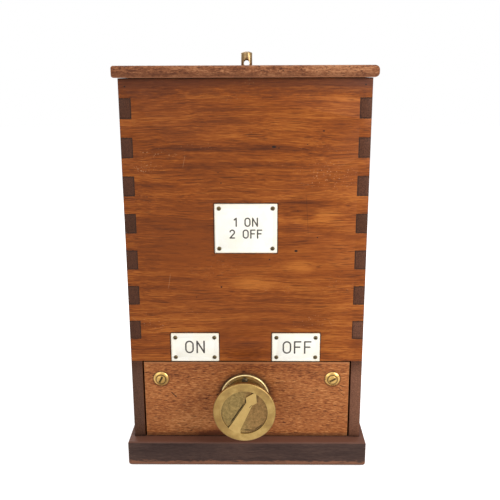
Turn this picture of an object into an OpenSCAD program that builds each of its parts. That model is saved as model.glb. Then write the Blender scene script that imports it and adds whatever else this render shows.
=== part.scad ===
// Railway signal box block switch: a rotary drum switch in a finger jointed hardwood case.
// Lengths are millimetres. The front faces -Y, and the base stands on Z = 0 with its centre at the origin.
// Shown with the pointer knob turned clockwise, to the right hand plate.

/* [Case] */
// Width over the side boards
case_w = 205; // [198:1:260]
// Depth over the front and back boards
case_d = 165; // [160:1:220]
// Height from the base board to the top of the case
case_h = 318; // [300:0.5:380]
// Thickness of the case boards
board_t = 9.5; // [8:0.5:12]
// Width of one finger of the corner joints
finger_w = 15.9; // [12:0.1:22]
// Glue line round each finger
glue_gap = 0.05; // [0.02:0.01:0.1]
// Height of the opening below the front board
opening_h = 74; // [72:0.5:84]

/* [Base] */
// Thickness of the base board
base_t = 24.5; // [18:0.5:30]
// Overhang of the base in front
base_front = 11; // [5:0.5:20]
// Overhang of the base at each side
base_side = 4.5; // [2:0.5:12]
// Overhang of the base behind
base_back = 5; // [0:0.5:12]
// Radius of the lower edge of the base
base_low_r = 4.5; // [1:0.5:8]
// Radius of the upper edge of the base
base_top_r = 1.5; // [0.5:0.5:4]
// Diameter of the base screws
base_screw_d = 4; // [3:0.5:5]
// Length of the base screws
base_screw_l = 42; // [36:1:60]
// How far the base screws' heads are sunk into the base
base_screw_sunk = 0.5; // [0:0.1:1]
// Distance of the end base screws from the front and back of the case
base_screw_end = 28; // [20:1:40]

/* [Lid] */
// Thickness of the lid
lid_t = 9.5; // [8:0.5:14]
// Overhang of the lid in front
lid_front = 6; // [3:0.5:15]
// Overhang of the lid at each side
lid_side = 4; // [2:0.5:12]
// Overhang of the lid behind
lid_back = 4; // [2:0.5:12]
// Radius of the lid's edges
lid_edge_r = 2; // [0.5:0.25:3]
// Radius of the lid's right end, which is rounded over more
lid_nose_r = 3.75; // [0.5:0.25:3.75]
// Gap between the lid and what it rests on
lid_gap = 0.3; // [0.1:0.1:0.5]
// Width of the battens under the lid
batten_w = 12; // [8:1:20]
// Depth of the battens under the lid
batten_h = 10; // [6:1:16]
// Play of the battens inside the case
batten_gap = 1.5; // [0.5:0.25:3]
// Diameter of the small wood screws of the battens, the rail and the strips
small_screw_d = 3; // [2.5:0.25:3.5]
// Length of the batten screws
batten_screw_l = 15; // [12:1:16]
// Distance of the batten screws from the ends of a batten
batten_screw_end = 30; // [15:1:50]

/* [Locking stud] */
// Width of the rail that carries the stud
rail_w = 28; // [20:1:40]
// Thickness of the rail
rail_t = 12; // [9:0.5:18]
// Distance of the rail below the top of the case
rail_drop = 1.5; // [0.5:0.5:4]
// Width of the cleats under the rail's ends
cleat_w = 14; // [12:1:20]
// Height of the cleats
cleat_h = 16; // [12:1:24]
// How far the cleats run past each edge of the rail
cleat_past = 5; // [0:1:12]
// Length of the rail screws
rail_screw_l = 24; // [20:1:26]
// Diameter of the stud's head
stud_d = 10.1; // [9:0.1:14]
// Height of the stud above the lid
stud_out = 13.1; // [11:0.1:20]
// Height of the dome on the stud's head
stud_dome = 1.3; // [0.6:0.1:2]
// Diameter of the stud where it passes the lid
stud_neck_d = 9.2; // [8.6:0.1:12]
// Clearance of the lid's hole round the stud
stud_play = 1; // [0.5:0.25:2]
// Diameter of the stud's threaded shank
stud_shank_d = 6; // [5:0.5:7]
// Length of the shank below the washer
stud_shank_below = 8; // [6:0.5:14]
// Radius of the padlock eye
eye_r = 2.6; // [2:0.1:3]
// Gap between the eye and the top of the lid
eye_gap = 0.1; // [0.1:0.1:1]
// Length of the eye's straight wall
eye_wall = 8; // [6:0.5:9]
// Width across the flats of the stud's nut
nut_flats = 10; // [9:0.5:13]
// Thickness of the stud's nut
nut_t = 5; // [4:0.5:6]
// Diameter of the stud's washer
washer_d = 15; // [12:0.5:20]
// Thickness of the stud's washer
washer_t = 1.2; // [0.8:0.1:2]

/* [Lower panel] */
// Thickness of the lower front panel
panel_t = 9.5; // [8:0.5:12]
// Gap at each side of the panel
panel_side_gap = 1.5; // [0.5:0.25:3]
// Gap above the panel
panel_top_gap = 1.2; // [0.5:0.1:3]
// Gap below the panel
panel_foot_gap = 0.3; // [0.1:0.1:0.5]
// How far the panel lies behind the front of the case
panel_set_back = 0.5; // [0:0.25:2]
// Distance of the panel screws from the panel's sides
panel_screw_side = 14.8; // [10:0.2:18]
// Distance of the panel screws below the panel's top
panel_screw_drop = 16.4; // [12:0.2:24]
// Diameter of the panel screws
panel_screw_d = 4; // [3:0.5:4.5]
// Length of the panel screws
panel_screw_l = 26; // [22:1:28]
// Diameter of the panel screws' heads
panel_head_d = 7.7; // [7:0.1:9]
// Diameter of the screw cups
cup_d = 13.8; // [12:0.2:16]
// Height of the screw cups
cup_h = 1.7; // [1.2:0.1:2.2]
// Width of the blocks that the panel is screwed to
block_w = 27; // [24:1:30]
// Depth of the blocks that the panel is screwed to
block_d = 20; // [18:1:24]
// How far the blocks run up behind the front board
block_up = 10; // [0:1:30]

/* [Name plates] */
// Width of the upper plate
title_w = 53; // [40:0.5:70]
// Height of the upper plate
title_h = 42.4; // [30:0.2:50]
// Height of the upper plate's lower edge above the base board
title_z = 173.4; // [150:0.2:220]
// Width of the lower plates
position_w = 42.2; // [36:0.2:50]
// Height of the lower plates
position_h = 26.2; // [22:0.2:32]
// Distance of the lower plates' middles from the middle between them
position_x = 44.5; // [30:0.1:60]
// Sideways offset of the lower plates from the middle of the case
position_shift = -0.9; // [-3:0.1:3]
// Distance of the lower plates above the front board's lower edge
position_up = 0.2; // [0:0.1:20]
// Thickness of the plates
plate_t = 1.2; // [0.8:0.1:2]
// Radius of the plates' corners
plate_corner_r = 0.8; // [0.4:0.1:2]
// Width of the bevel round the plates' faces
plate_bevel = 0.5; // [0.2:0.1:0.6]
// Distance of the plate screws from the plates' edges
plate_screw_in = 3.9; // [3:0.1:6]
// Diameter of the plate screws
plate_screw_d = 1.8; // [1.4:0.1:2.4]
// Diameter of the plate screws' heads
plate_head_d = 3.6; // [3:0.1:4.4]
// Length of the plate screws
plate_screw_l = 8; // [6:0.5:9]

/* [Knob] */
// Diameter of the knob
knob_d = 54; // [50:0.5:64]
// How far the knob's face stands out of the case
knob_out = 30.5; // [28:0.5:40]
// Width of the knob's raised rim
rim_w = 7; // [4:0.2:9]
// Thickness of the knob's disc
disc_t = 5; // [4:0.25:7]
// Depth of the recess in the knob's face
recess = 1.8; // [1:0.1:2.4]
// Radius of the disc's front edge
disc_front_r = 1.2; // [0.5:0.1:1.8]
// Radius of the disc's back edge
disc_back_r = 1.8; // [0.5:0.1:2]
// Diameter of the knob's hub
hub_d = 17; // [15:0.5:22]
// Radius of the flare between the hub and the disc
hub_flare = 9; // [5:0.5:12]
// Width of the pointer at its neck
pointer_neck = 5.6; // [4:0.2:8]
// Width of the pointer's shaft where its tail begins
pointer_shaft = 9.8; // [8:0.2:12]
// Width of the pointer's tail at the rim
pointer_tail = 12.6; // [9:0.2:18]
// Length of the pointer's tail inside the rim
pointer_tail_l = 5; // [2:0.5:8]
// Width of the pointer's shoulders
pointer_barb = 10.4; // [8:0.2:14]
// Length of the pointer's head, from its shoulders to its tip
pointer_head = 7.4; // [5:0.2:10]
// Height of the shoulders above the neck
pointer_notch = 4.2; // [1:0.2:6]
// Width of the pointer's blunt tip
pointer_tip = 1.4; // [0.6:0.2:3]
// Travel of the knob from one plate to the other, in degrees
travel = 55; // [50:1:70]
// Gap between parts that turn and parts that don't
turn_gap = 0.4; // [0.3:0.1:0.6]

/* [Knob flange] */
// Diameter of the brass flange behind the knob
flange_d = 44; // [40:0.5:52]
// Thickness of the flange's plate
flange_t = 1.6; // [1.2:0.1:2.4]
// Radius of the bead round the flange
bead_r = 1.1; // [0.8:0.1:1.2]
// Diameter of the flange's boss
flange_boss_d = 17; // [15:0.5:20]
// Height of the boss in front of the flange's plate
flange_boss_out = 2.4; // [1:0.2:4]
// How far the boss runs past the stop plate behind the panel
flange_boss_past = 1; // [0.5:0.25:2]
// Distance of the flange screws from the spindle
flange_screw_r = 16.6; // [15.6:0.1:16.8]
// Diameter of the flange screws
flange_screw_d = 2.8; // [2.2:0.2:3.2]
// Diameter of the flange screws' heads
flange_head_d = 5.6; // [4.6:0.2:5.8]
// Length of the flange screws
flange_screw_l = 8; // [6:0.5:9]

/* [Spindle] */
// Height of the spindle above the base board
spindle_z = 39.3; // [38:0.1:44]
// Sideways offset of the spindle from the middle of the case
spindle_x = -1.5; // [-3:0.5:3]
// Diameter of the spindle
spindle_d = 8; // [6:0.5:10]
// Running clearance of the spindle in its bearings
run_gap = 0.05; // [0.02:0.01:0.09]
// Clearance of pieces fixed to the spindle and of screws in their holes
fit_gap = 0.05; // [0.02:0.01:0.1]
// Diameter of the cross pins
pin_d = 2.5; // [2:0.25:3]
// How far each end of a cross pin lies below the surface
pin_sunk = 0.3; // [0.1:0.1:0.6]
// Depth of the knob's blind bore
knob_bore = 22; // [18:0.5:23]
// Diameter of the thrust collar
collar_d = 16; // [14:0.5:20]
// Length of the thrust collar
collar_l = 7; // [5:0.5:10]
// Length of the rear bearing's boss
rear_boss_l = 12; // [8:0.5:14]
// Diameter of the rear bearing's boss
rear_boss_d = 18; // [15:0.5:24]
// Width of the rear bearing
rear_w = 34; // [30:1:44]
// Thickness of the rear bearing's plate and foot
rear_t = 4; // [3:0.25:5]
// Length of the rear bearing's foot
rear_foot = 24; // [20:1:26]
// Distance of the rear bearing's foot from the back board
rear_gap = 4.65; // [2:0.05:8]
// Metal round the rear bearing's boss
rear_arch = 4; // [3:0.5:6]
// Length of the rear bearing's screws
rear_screw_l = 16; // [12:1:18]
// Distance of the rear bearing's screws from the sides of its foot
rear_screw_in = 6; // [5:0.5:8]
// Length of the spindle past its rear bearing
spindle_past = 3; // [1:0.5:6]

/* [Stops] */
// Diameter of the stop plate behind the panel
stop_plate_d = 46; // [42:1:54]
// Thickness of the stop plate
stop_plate_t = 2; // [1.5:0.25:3]
// Distance of the stop pegs from the spindle
peg_r = 17; // [15:0.5:19]
// Diameter of the stop pegs
peg_d = 4; // [3:0.5:5]
// Width of the stop arm
arm_w = 7; // [5:0.5:9]
// Thickness of the stop arm
arm_t = 5; // [4:0.5:6]
// Diameter of the stop arm's collar
arm_collar_d = 17; // [15:0.5:20]
// Length of the stop arm's collar
arm_collar_l = 8; // [7:0.5:10]
// Length of the stop plate's screws
stop_screw_l = 7; // [6:0.5:9]

/* [Contact drum] */
// Number of contact rings along the drum
rings = 6; // [4:1:6]
// Diameter of the drum
drum_d = 40; // [36:0.5:44]
// Plain length at each end of the drum
drum_end = 2; // [1:0.5:4]
// Distance of the drum behind the stop arm
drum_gap = 6; // [4:0.5:8]
// Width of the brass segments
segment_w = 9; // [7:0.25:10]
// Thickness of the brass segments
segment_t = 2.2; // [1.6:0.1:3]
// Angle that each segment covers, in degrees
segment_angle = 200; // [190:1:220]
// Diameter of the segment screws
segment_screw_d = 1.6; // [1.2:0.1:2]
// Length of the segment screws
segment_screw_l = 7; // [5:0.5:8]
// Angle between the end screws of a segment and its ends
segment_screw_end = 25; // [15:1:40]

/* [Contact springs] */
// Width of the contact springs
spring_w = 8; // [6:0.25:9]
// Thickness of the contact springs
spring_t = 0.7; // [0.5:0.05:1]
// Gap between the springs' tips and the drum
contact_gap = 0.3; // [0.2:0.05:0.4]
// Radius of the springs' curled tips
tip_r = 5; // [4:0.25:6]
// Distance of the contact screws from the side boards
contact_side = 43; // [41:0.5:45]
// Length of the springs' flat feet inside the contact screws
spring_foot = 8; // [6:0.5:12]
// Diameter of the contact and terminal screws
contact_d = 3.6; // [3:0.2:4]
// Diameter of the contact screws' heads
contact_head_d = 7; // [6:0.2:7.6]
// Length of the contact screws
contact_screw_l = 14; // [10:1:18]
// Height of the spring blocks
spring_block_h = 28; // [24:0.5:30]
// Width of the spring blocks
spring_block_w = 20; // [16:0.5:22]
// Length of each spring block past the outer rings
spring_block_end = 16; // [14:0.5:17]
// Length of the spring block screws
block_screw_l = 42; // [38:1:44]

/* [Terminals] */
// Height of the lowest terminal above the base board
terminal_z = 108; // [90:1:120]
// Distance from one terminal to the next
terminal_pitch = 24; // [18:0.5:26]
// Distance of the terminals from the side boards
terminal_side = 19; // [19:0.5:21]
// Width of the terminal strips
strip_w = 24; // [18:0.5:24]
// Thickness of the terminal strips
strip_t = 8; // [6:0.5:10]
// Length of each strip past its end terminals
strip_end = 16; // [14:0.5:20]
// Length of the strip screws
strip_screw_l = 14; // [12:0.5:16]
// Length of the terminal studs in front of the strip
terminal_out = 17; // [15:0.5:20]
// Diameter of the terminal studs' collars
terminal_collar_d = 7.6; // [6:0.2:8]
// Thickness of the terminal studs' collars
terminal_collar_t = 2; // [1.5:0.25:3]
// Width across the flats of the terminal nuts
terminal_flats = 6.8; // [6:0.2:7]
// Thickness of the terminal nuts
terminal_nut_t = 3; // [2:0.25:3.5]
// Diameter of the thumb nuts
thumb_d = 10; // [8:0.5:12]
// Thickness of the thumb nuts
thumb_t = 5; // [4:0.5:6]
// Diameter of the waist round each thumb nut
thumb_waist_d = 7; // [6:0.5:8]
// Width of the waist round each thumb nut
thumb_waist = 1.4; // [1:0.1:2]
// Distance of the thumb nuts from the ends of the studs
thumb_in = 1.5; // [0.5:0.5:3]

/* [Wires] */
// Diameter of the covered wires
wire_d = 2.2; // [1.8:0.1:2.6]
// Radius of the bends in the wires, at their middle
wire_bend = 5; // [4:0.5:6]
// Distance from the side boards at which the wires rise
wire_side = 31; // [30.5:0.25:31.5]
// Diameter of the bare loops at the wires' ends
loop_d = 8.4; // [8:0.1:9]
// Thickness of the bare loops
loop_t = 1.2; // [0.9:0.1:1.5]

/* [Cable hole] */
// Radius of the cable hole in the back board
cable_r = 12.7; // [8:0.1:16]
// Height of the cable hole above the base board
cable_z = 150; // [120:1:200]

/* [Hidden] */
$fn = 64;

// Margin by which a cutting shape runs past what it cuts
cut = 1;
// Smallest height left below the last finger of the front board
last_finger_rest = 10;
// Width and depth of the screws' slots
slot_w = 0.9;
slot_depth = 0.8;
// Height of raised and round screw heads, as a share of their diameter
raised_head = 0.11;
round_head = 0.34;
// Length of a screw's point, as a share of its diameter
screw_point = 1.5;
// Diameter of flat and round screw heads, as a share of the screws' diameter
screw_head = 2;
stop_screw_head = 1.7;
// Height that the dome of a screw cup would have without its hole, as a share of the cup's height
cup_crown = 1.25;
// Angles at which the slots of the panel screws and the flange screws were left
panel_slots = [63, 27];
flange_slot = 70;
// How far the pointer is rooted in the rim and in the floor of the recess
pointer_root = 0.6;
// Angles at which the curl of a contact spring's tip starts and ends, and the step between its points
tip_start = 246;
tip_end = 120;
tip_step = 18;
// Step to which the distance between contact rings is rounded
pitch_step = 0.05;
// Distance of the spring blocks' middles inside the contact screws
spring_block_in = 2;

base_head_d = screw_head * base_screw_d;
small_head_d = screw_head * small_screw_d;
stop_head_d = stop_screw_head * small_screw_d;
segment_head_d = screw_head * segment_screw_d;

base_d = base_front + case_d + base_back;
front_y = base_front - base_d / 2;
inner_w = case_w - 2 * board_t;
front_fingers = floor((case_h - opening_h - last_finger_rest) / (2 * finger_w));
back_fingers = floor(case_h / (2 * finger_w));

panel_w = inner_w - 2 * panel_side_gap;
panel_h = opening_h - panel_top_gap - panel_foot_gap;
panel_back = panel_set_back + panel_t;
panel_screw_x = panel_w / 2 - panel_screw_side;
panel_screw_z = opening_h - panel_top_gap - panel_screw_drop;

stud_y = case_d / 2;
rail_top = case_h - rail_drop;
lid_z = case_h + lid_gap;
lid_top = lid_z + lid_t;
eye_z = lid_top + eye_gap + eye_r;
lid_w = case_w + 2 * lid_side;
lid_d = case_d + lid_front + lid_back;
batten_l = inner_w - 2 * batten_gap;
batten_ys = [board_t + batten_gap, case_d - board_t - batten_gap - batten_w];

spindle_r = spindle_d / 2;
drum_r = drum_d / 2;
flange_face = panel_set_back - flange_t;
boss_face = flange_face - flange_boss_out;
hub_y = boss_face - turn_gap;
stop_face = panel_back + stop_plate_t;
boss_back = stop_face + flange_boss_past;
arm_y = boss_back + turn_gap;
drum_y = arm_y + arm_collar_l + drum_gap;
rear_plate_y = case_d - board_t - rear_gap - rear_foot;
rear_boss_y = rear_plate_y - (rear_boss_l - rear_t) / 2;
collar_y = rear_boss_y - turn_gap - collar_l;
drum_l = collar_y - fit_gap - drum_y;
ring_pitch = round((drum_l - 2 * drum_end) / rings / pitch_step) * pitch_step;
spindle_y = hub_y - knob_bore;
spindle_end = rear_boss_y + rear_boss_l + spindle_past;
knob_pin_y = hub_y - knob_bore / 3;
arm_mid = arm_y + arm_collar_l / 2;
peg_angle = travel / 2 + asin((arm_w / 2 + peg_d / 2 + turn_gap) / peg_r);
arm_reach = peg_r + peg_d;
stop_screw_angles = [0, 180, 270];
flange_screw_angles = [90, 210, 330];
stop_screw_r = (peg_r + peg_d / 2 + stop_plate_d / 2) / 2 - 2 * fit_gap;
hub_l = knob_out + hub_y;

ring_ys = [for (i = [0 : rings - 1]) drum_y + drum_end + (i + 0.5) * ring_pitch];
drum_pin_y = ring_ys[0] + ring_pitch / 2;
segment_screw_sunk = 0.15;
contact_x = inner_w / 2 - contact_side;
wire_x = inner_w / 2 - wire_side;
terminal_x = inner_w / 2 - terminal_side;
spring_block_x = contact_x - spring_block_in;
spring_block_y = ring_ys[0] - spring_block_end;
spring_block_l = ring_ys[rings - 1] - ring_ys[0] + 2 * spring_block_end;
block_screw_in = 5.5;
foot_out = contact_x + contact_head_d / 2;
foot_in = contact_x - spring_foot;
loop_z = spring_block_h + spring_t;
wire_z = loop_z + loop_t / 2;

strip_face = case_d - board_t - strip_t;
strip_screw_end = 5;
terminal_zs = [for (i = [0 : rings - 1]) terminal_z + (rings - 1 - i) * terminal_pitch];
strip_z = terminal_z - strip_end;
strip_h = (rings - 1) * terminal_pitch + 2 * strip_end;
loop_y = strip_face - terminal_collar_t - loop_t;
wire_y = loop_y + loop_t / 2;

title_mid = title_z + title_h / 2;
position_mid = opening_h + position_up + position_h / 2;

mahogany = [0.55, 0.28, 0.13];
panel_wood = [0.60, 0.34, 0.18];
dark_wood = [0.22, 0.12, 0.08];
lid_wood = [0.48, 0.24, 0.14];
deal = [0.76, 0.60, 0.40];
brass = [0.72, 0.57, 0.28];
dull_brass = [0.52, 0.41, 0.22];
ivory = [0.93, 0.91, 0.84];
ebonite = [0.09, 0.08, 0.08];
spring_bronze = [0.74, 0.55, 0.36];
copper = [0.72, 0.43, 0.28];
cotton = [0.25, 0.33, 0.22];

// Places its children in the case's own frame: Y from the front of the case, Z from the base board
module in_case() translate([0, front_y, base_t]) children();

// Places a shape on the spindle's axis at y, with its own Z pointing out of the front
module on_spindle(y) translate([spindle_x, y, spindle_z]) rotate([90, 0, 0]) children();

// Mirrors its children for the left side, about the middle of the case or the spindle
module each_side(x = 0) {
    for (s = [0, 1]) translate([x, 0, 0]) mirror([s, 0, 0]) children();
}

// What is taken off a square corner to leave a radius, with the corner at the origin
module corner_cut(r) {
    difference() {
        translate([-cut, -cut]) square(r + cut);
        translate([r, r]) circle(r);
    }
}

// What is taken off the lower and upper edge at the left of a section of width w and thickness t
module edge_cuts(w, t, low_r, top_r) {
    translate([-w / 2, 0]) corner_cut(low_r);
    translate([-w / 2, t]) mirror([0, 1]) corner_cut(top_r);
}

// Section of a board of width w and thickness t, with its lower and upper edges rounded.
// A nose radius, where given, rounds both edges of the right end instead.
module board_section(w, t, low_r, top_r, nose_r = 0) {
    difference() {
        translate([-w / 2, 0]) square([w, t]);
        edge_cuts(w, t, low_r, top_r);
        mirror([1, 0]) {
            if (nose_r > 0) edge_cuts(w, t, nose_r, nose_r);
            else edge_cuts(w, t, low_r, top_r);
        }
    }
}

// Board with all four edges rounded, from w by d, with its underside at Z = 0
module edged_board(w, d, t, low_r, top_r, nose_r = 0) {
    intersection() {
        translate([0, d / 2, 0]) rotate([90, 0, 0]) linear_extrude(d) {
            board_section(w, t, low_r, top_r, nose_r);
        }
        translate([-w / 2, 0, 0]) rotate([90, 0, 90]) linear_extrude(w) board_section(d, t, low_r, top_r);
    }
}

// Rectangle with rounded corners, centred
module soft_rectangle(w, h, r) {
    difference() {
        square([w, h], center = true);
        for (s = [0, 1], t = [0, 1]) mirror([s, 0]) mirror([0, t]) translate([-w / 2, -h / 2]) corner_cut(r);
    }
}

// Low dome of diameter d and height h, standing on Z = 0
module dome(d, h) {
    r = (h * h + d * d / 4) / (2 * h);
    intersection() {
        translate([0, 0, h - r]) sphere(r);
        cylinder(d = d, h = h);
    }
}

// Wood screw with its seat at Z = 0 and its point below: style 0 is flat, 1 raised and 2 round headed
module wood_screw(d, l, head_d, style = 0) {
    sink = style == 2 ? 0 : (head_d - d) / 2;
    rise = style == 0 ? 0 : head_d * (style == 1 ? raised_head : round_head);
    point = screw_point * d;
    difference() {
        union() {
            if (style < 2) translate([0, 0, -sink]) cylinder(d1 = d, d2 = head_d, h = sink);
            if (style > 0) dome(head_d, rise);
            translate([0, 0, point - l]) cylinder(d = d, h = l - point - sink);
            translate([0, 0, -l]) cylinder(d1 = d / 4, d2 = d, h = point);
        }
        translate([-head_d, -slot_w / 2, rise - slot_depth]) cube([2 * head_d, slot_w, slot_depth + cut]);
    }
}

// Hole for such a screw, with its countersink
module screw_hole(d, l, head_d = 0) {
    bore_d = d + 2 * fit_gap;
    translate([0, 0, -l - fit_gap]) cylinder(d = bore_d, h = l + fit_gap + cut);
    if (head_d > 0) {
        sink = (head_d - d) / 2;
        translate([0, 0, -sink]) cylinder(d1 = bore_d, d2 = head_d + 2 * fit_gap, h = sink);
        cylinder(d = head_d + 2 * fit_gap, h = cut);
    }
}

// Fingers of a corner joint, counted down from the top: n of them, w wide and d deep, less a gap all round
module fingers(n, w, d, gap = 0) {
    for (k = [0 : n - 1]) {
        translate([0, 0, case_h - (2 * k + 2) * finger_w + gap]) cube([w, d, finger_w - 2 * gap]);
    }
}

// Centres of the base screws, from below
module base_screw_places() {
    for (y = [base_screw_end, case_d / 2, case_d - base_screw_end]) {
        each_side() translate([(case_w - board_t) / 2, y, base_screw_sunk - base_t]) rotate([180, 0, 0]) {
            children();
        }
    }
}

module base_board() {
    color(dark_wood) difference() {
        edged_board(case_w + 2 * base_side, base_d, base_t, base_low_r, base_top_r);
        in_case() {
            base_screw_places() screw_hole(base_screw_d, base_screw_l, base_head_d);
            block_screw_places() screw_hole(base_screw_d, block_screw_l, base_head_d);
            rear_screw_places() screw_hole(small_screw_d, rear_screw_l);
        }
    }
}

module base_screws() {
    color(dull_brass) in_case() base_screw_places() wood_screw(base_screw_d, base_screw_l, base_head_d);
}

// Right hand side board, with its fingers towards the front and the back
module side_board() {
    deep = board_t + glue_gap;
    difference() {
        translate([inner_w / 2, 0, 0]) cube([board_t, case_d, case_h]);
        translate([inner_w / 2 - cut, 0, 0]) difference() {
            translate([0, -cut, opening_h - glue_gap]) cube([board_t + 2 * cut, deep + cut, case_h]);
            translate([0, -cut, 0]) fingers(front_fingers, board_t + 2 * cut, deep + cut, glue_gap);
        }
        translate([inner_w / 2 - cut, case_d - deep, 0]) difference() {
            translate([0, 0, -cut]) cube([board_t + 2 * cut, deep + cut, case_h + 2 * cut]);
            fingers(back_fingers, board_t + 2 * cut, deep + cut, glue_gap);
        }
        base_screw_places() screw_hole(base_screw_d, base_screw_l);
    }
}

module left_side_board() {
    color(dark_wood) in_case() mirror([1, 0, 0]) side_board();
}

module right_side_board() {
    color(dark_wood) in_case() side_board();
}

module front_board() {
    color(mahogany) in_case() difference() {
        translate([-case_w / 2, 0, opening_h]) cube([case_w, board_t, case_h - opening_h]);
        each_side() translate([inner_w / 2 - glue_gap, -cut, 0]) {
            fingers(front_fingers, board_t + glue_gap + cut, board_t + 2 * cut);
        }
        plate_screw_places() screw_hole(plate_screw_d, plate_screw_l);
    }
}

module back_board() {
    color(mahogany) in_case() difference() {
        translate([-case_w / 2, case_d - board_t, 0]) cube([case_w, board_t, case_h]);
        each_side() translate([inner_w / 2 - glue_gap, case_d - board_t - cut, 0]) {
            fingers(back_fingers, board_t + glue_gap + cut, board_t + 2 * cut);
        }
        translate([0, case_d + cut, cable_z]) rotate([90, 0, 0]) cylinder(r = cable_r, h = board_t + 2 * cut);
        strip_screw_places() screw_hole(small_screw_d, strip_screw_l);
    }
}

// Deal blocks glued into the lower corners, which take the panel screws
module panel_screw_blocks() {
    color(deal) in_case() difference() {
        each_side() translate([inner_w / 2 - block_w, panel_back + fit_gap, 0]) {
            cube([block_w, block_d, opening_h + block_up]);
        }
        panel_screw_places() screw_hole(panel_screw_d, panel_screw_l);
    }
}

module rail_cleats() {
    cleat_l = rail_w + 2 * cleat_past;
    color(deal) in_case() difference() {
        each_side() translate([inner_w / 2 - cleat_w, stud_y - cleat_l / 2, rail_top - rail_t - cleat_h]) {
            cube([cleat_w, cleat_l, cleat_h]);
        }
        rail_screw_places() screw_hole(small_screw_d, rail_screw_l);
    }
}

// Centres of the rail screws, two at each end
module rail_screw_places() {
    for (s = [-1, 1]) {
        each_side() translate([inner_w / 2 - cleat_w / 2, stud_y + s * rail_w / 4, rail_top]) children();
    }
}

module lid_rail() {
    color(deal) in_case() difference() {
        translate([-inner_w / 2 + glue_gap, stud_y - rail_w / 2, rail_top - rail_t]) {
            cube([inner_w - 2 * glue_gap, rail_w, rail_t]);
        }
        translate([0, stud_y, rail_top - rail_t - cut]) {
            cylinder(d = stud_shank_d + 2 * fit_gap, h = rail_t + 2 * cut);
        }
        rail_screw_places() screw_hole(small_screw_d, rail_screw_l, small_head_d);
    }
}

module rail_screws() {
    color(dull_brass) in_case() rail_screw_places() wood_screw(small_screw_d, rail_screw_l, small_head_d);
}

// Turned section of the stud, from the end of its shank to the dome on its head
module stud_section() {
    shank_z = rail_top - rail_t - washer_t - stud_shank_below;
    dome_r = (stud_dome * stud_dome + stud_d * stud_d / 4) / (2 * stud_dome);
    translate([0, shank_z]) square([stud_shank_d / 2, rail_top - shank_z]);
    translate([0, rail_top]) square([stud_neck_d / 2, lid_top - rail_top + cut]);
    intersection() {
        translate([0, lid_top + eye_gap]) square([stud_d / 2, stud_out]);
        translate([0, lid_top + stud_out - dome_r]) circle(dome_r);
    }
}

module lock_stud() {
    color(brass) in_case() translate([0, stud_y, 0]) difference() {
        rotate_extrude() stud_section();
        translate([0, 0, eye_z]) rotate([90, 0, 0]) {
            translate([0, 0, -stud_d]) cylinder(r = eye_r, h = 2 * stud_d);
            for (s = [0, 1]) mirror([0, 0, s]) translate([0, 0, eye_wall / 2]) {
                cylinder(r1 = eye_r, r2 = eye_r + stud_d / 2, h = stud_d / 2);
            }
        }
    }
}

module stud_washer() {
    color(brass) in_case() translate([0, stud_y, rail_top - rail_t - washer_t]) difference() {
        cylinder(d = washer_d, h = washer_t);
        translate([0, 0, -cut]) cylinder(d = stud_shank_d + 2 * fit_gap, h = washer_t + 2 * cut);
    }
}

// Six sided nut, centred, standing on Z = 0
module hex_nut(flats, t, bore_d) {
    difference() {
        cylinder(d = flats / cos(30), h = t, $fn = 6);
        translate([0, 0, -cut]) cylinder(d = bore_d, h = t + 2 * cut);
    }
}

module stud_nut() {
    color(brass) in_case() translate([0, stud_y, rail_top - rail_t - washer_t - nut_t]) {
        hex_nut(nut_flats, nut_t, stud_shank_d + 2 * fit_gap);
    }
}

module lid_board() {
    color(lid_wood) in_case() difference() {
        translate([0, lid_d / 2 - lid_front, lid_z]) {
            edged_board(lid_w, lid_d, lid_t, lid_edge_r, lid_edge_r, lid_nose_r);
        }
        translate([0, stud_y, lid_z - cut]) cylinder(d = stud_d + 2 * stud_play, h = lid_t + 2 * cut);
        batten_screw_places() screw_hole(small_screw_d, batten_screw_l);
    }
}

// Centres of the batten screws, from below
module batten_screw_places() {
    for (y = batten_ys) {
        each_side() translate([batten_l / 2 - batten_screw_end, y + batten_w / 2, lid_z - batten_h]) {
            rotate([180, 0, 0]) children();
        }
    }
}

module lid_battens() {
    color(deal) in_case() difference() {
        for (y = batten_ys) translate([-batten_l / 2, y, lid_z - batten_h]) {
            cube([batten_l, batten_w, batten_h]);
        }
        batten_screw_places() screw_hole(small_screw_d, batten_screw_l, small_head_d);
    }
}

module batten_screws() {
    color(dull_brass) in_case() batten_screw_places() {
        wood_screw(small_screw_d, batten_screw_l, small_head_d);
    }
}

// Centres of the panel screws' seats, which lie at the top of the cups
module panel_screw_places() {
    each_side() translate([panel_screw_x, panel_set_back - cup_h, panel_screw_z]) {
        rotate([90, 0, 0]) children();
    }
}

module lower_front_panel() {
    color(panel_wood) in_case() difference() {
        translate([-panel_w / 2, panel_set_back, panel_foot_gap]) cube([panel_w, panel_t, panel_h]);
        panel_screw_places() screw_hole(panel_screw_d, panel_screw_l, panel_head_d);
        on_spindle(panel_back + cut) cylinder(d = flange_boss_d + 2 * fit_gap, h = panel_t + 2 * cut);
        flange_screw_places() screw_hole(flange_screw_d, flange_screw_l);
        stop_screw_places() screw_hole(small_screw_d, stop_screw_l);
    }
}

module panel_screw_cups() {
    color(brass) in_case() panel_screw_places() difference() {
        translate([0, 0, -cup_h]) intersection() {
            dome(cup_d, cup_h * cup_crown);
            cylinder(d = cup_d, h = cup_h);
        }
        screw_hole(panel_screw_d, panel_screw_l, panel_head_d);
    }
}

// The two panel screws, with their slots turned as they were left
module panel_screws() {
    color(brass) in_case() for (i = [0, 1]) {
        translate([(2 * i - 1) * panel_screw_x, panel_set_back - cup_h, panel_screw_z]) {
            rotate([90, -panel_slots[i], 0]) wood_screw(panel_screw_d, panel_screw_l, panel_head_d, 1);
        }
    }
}

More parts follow.
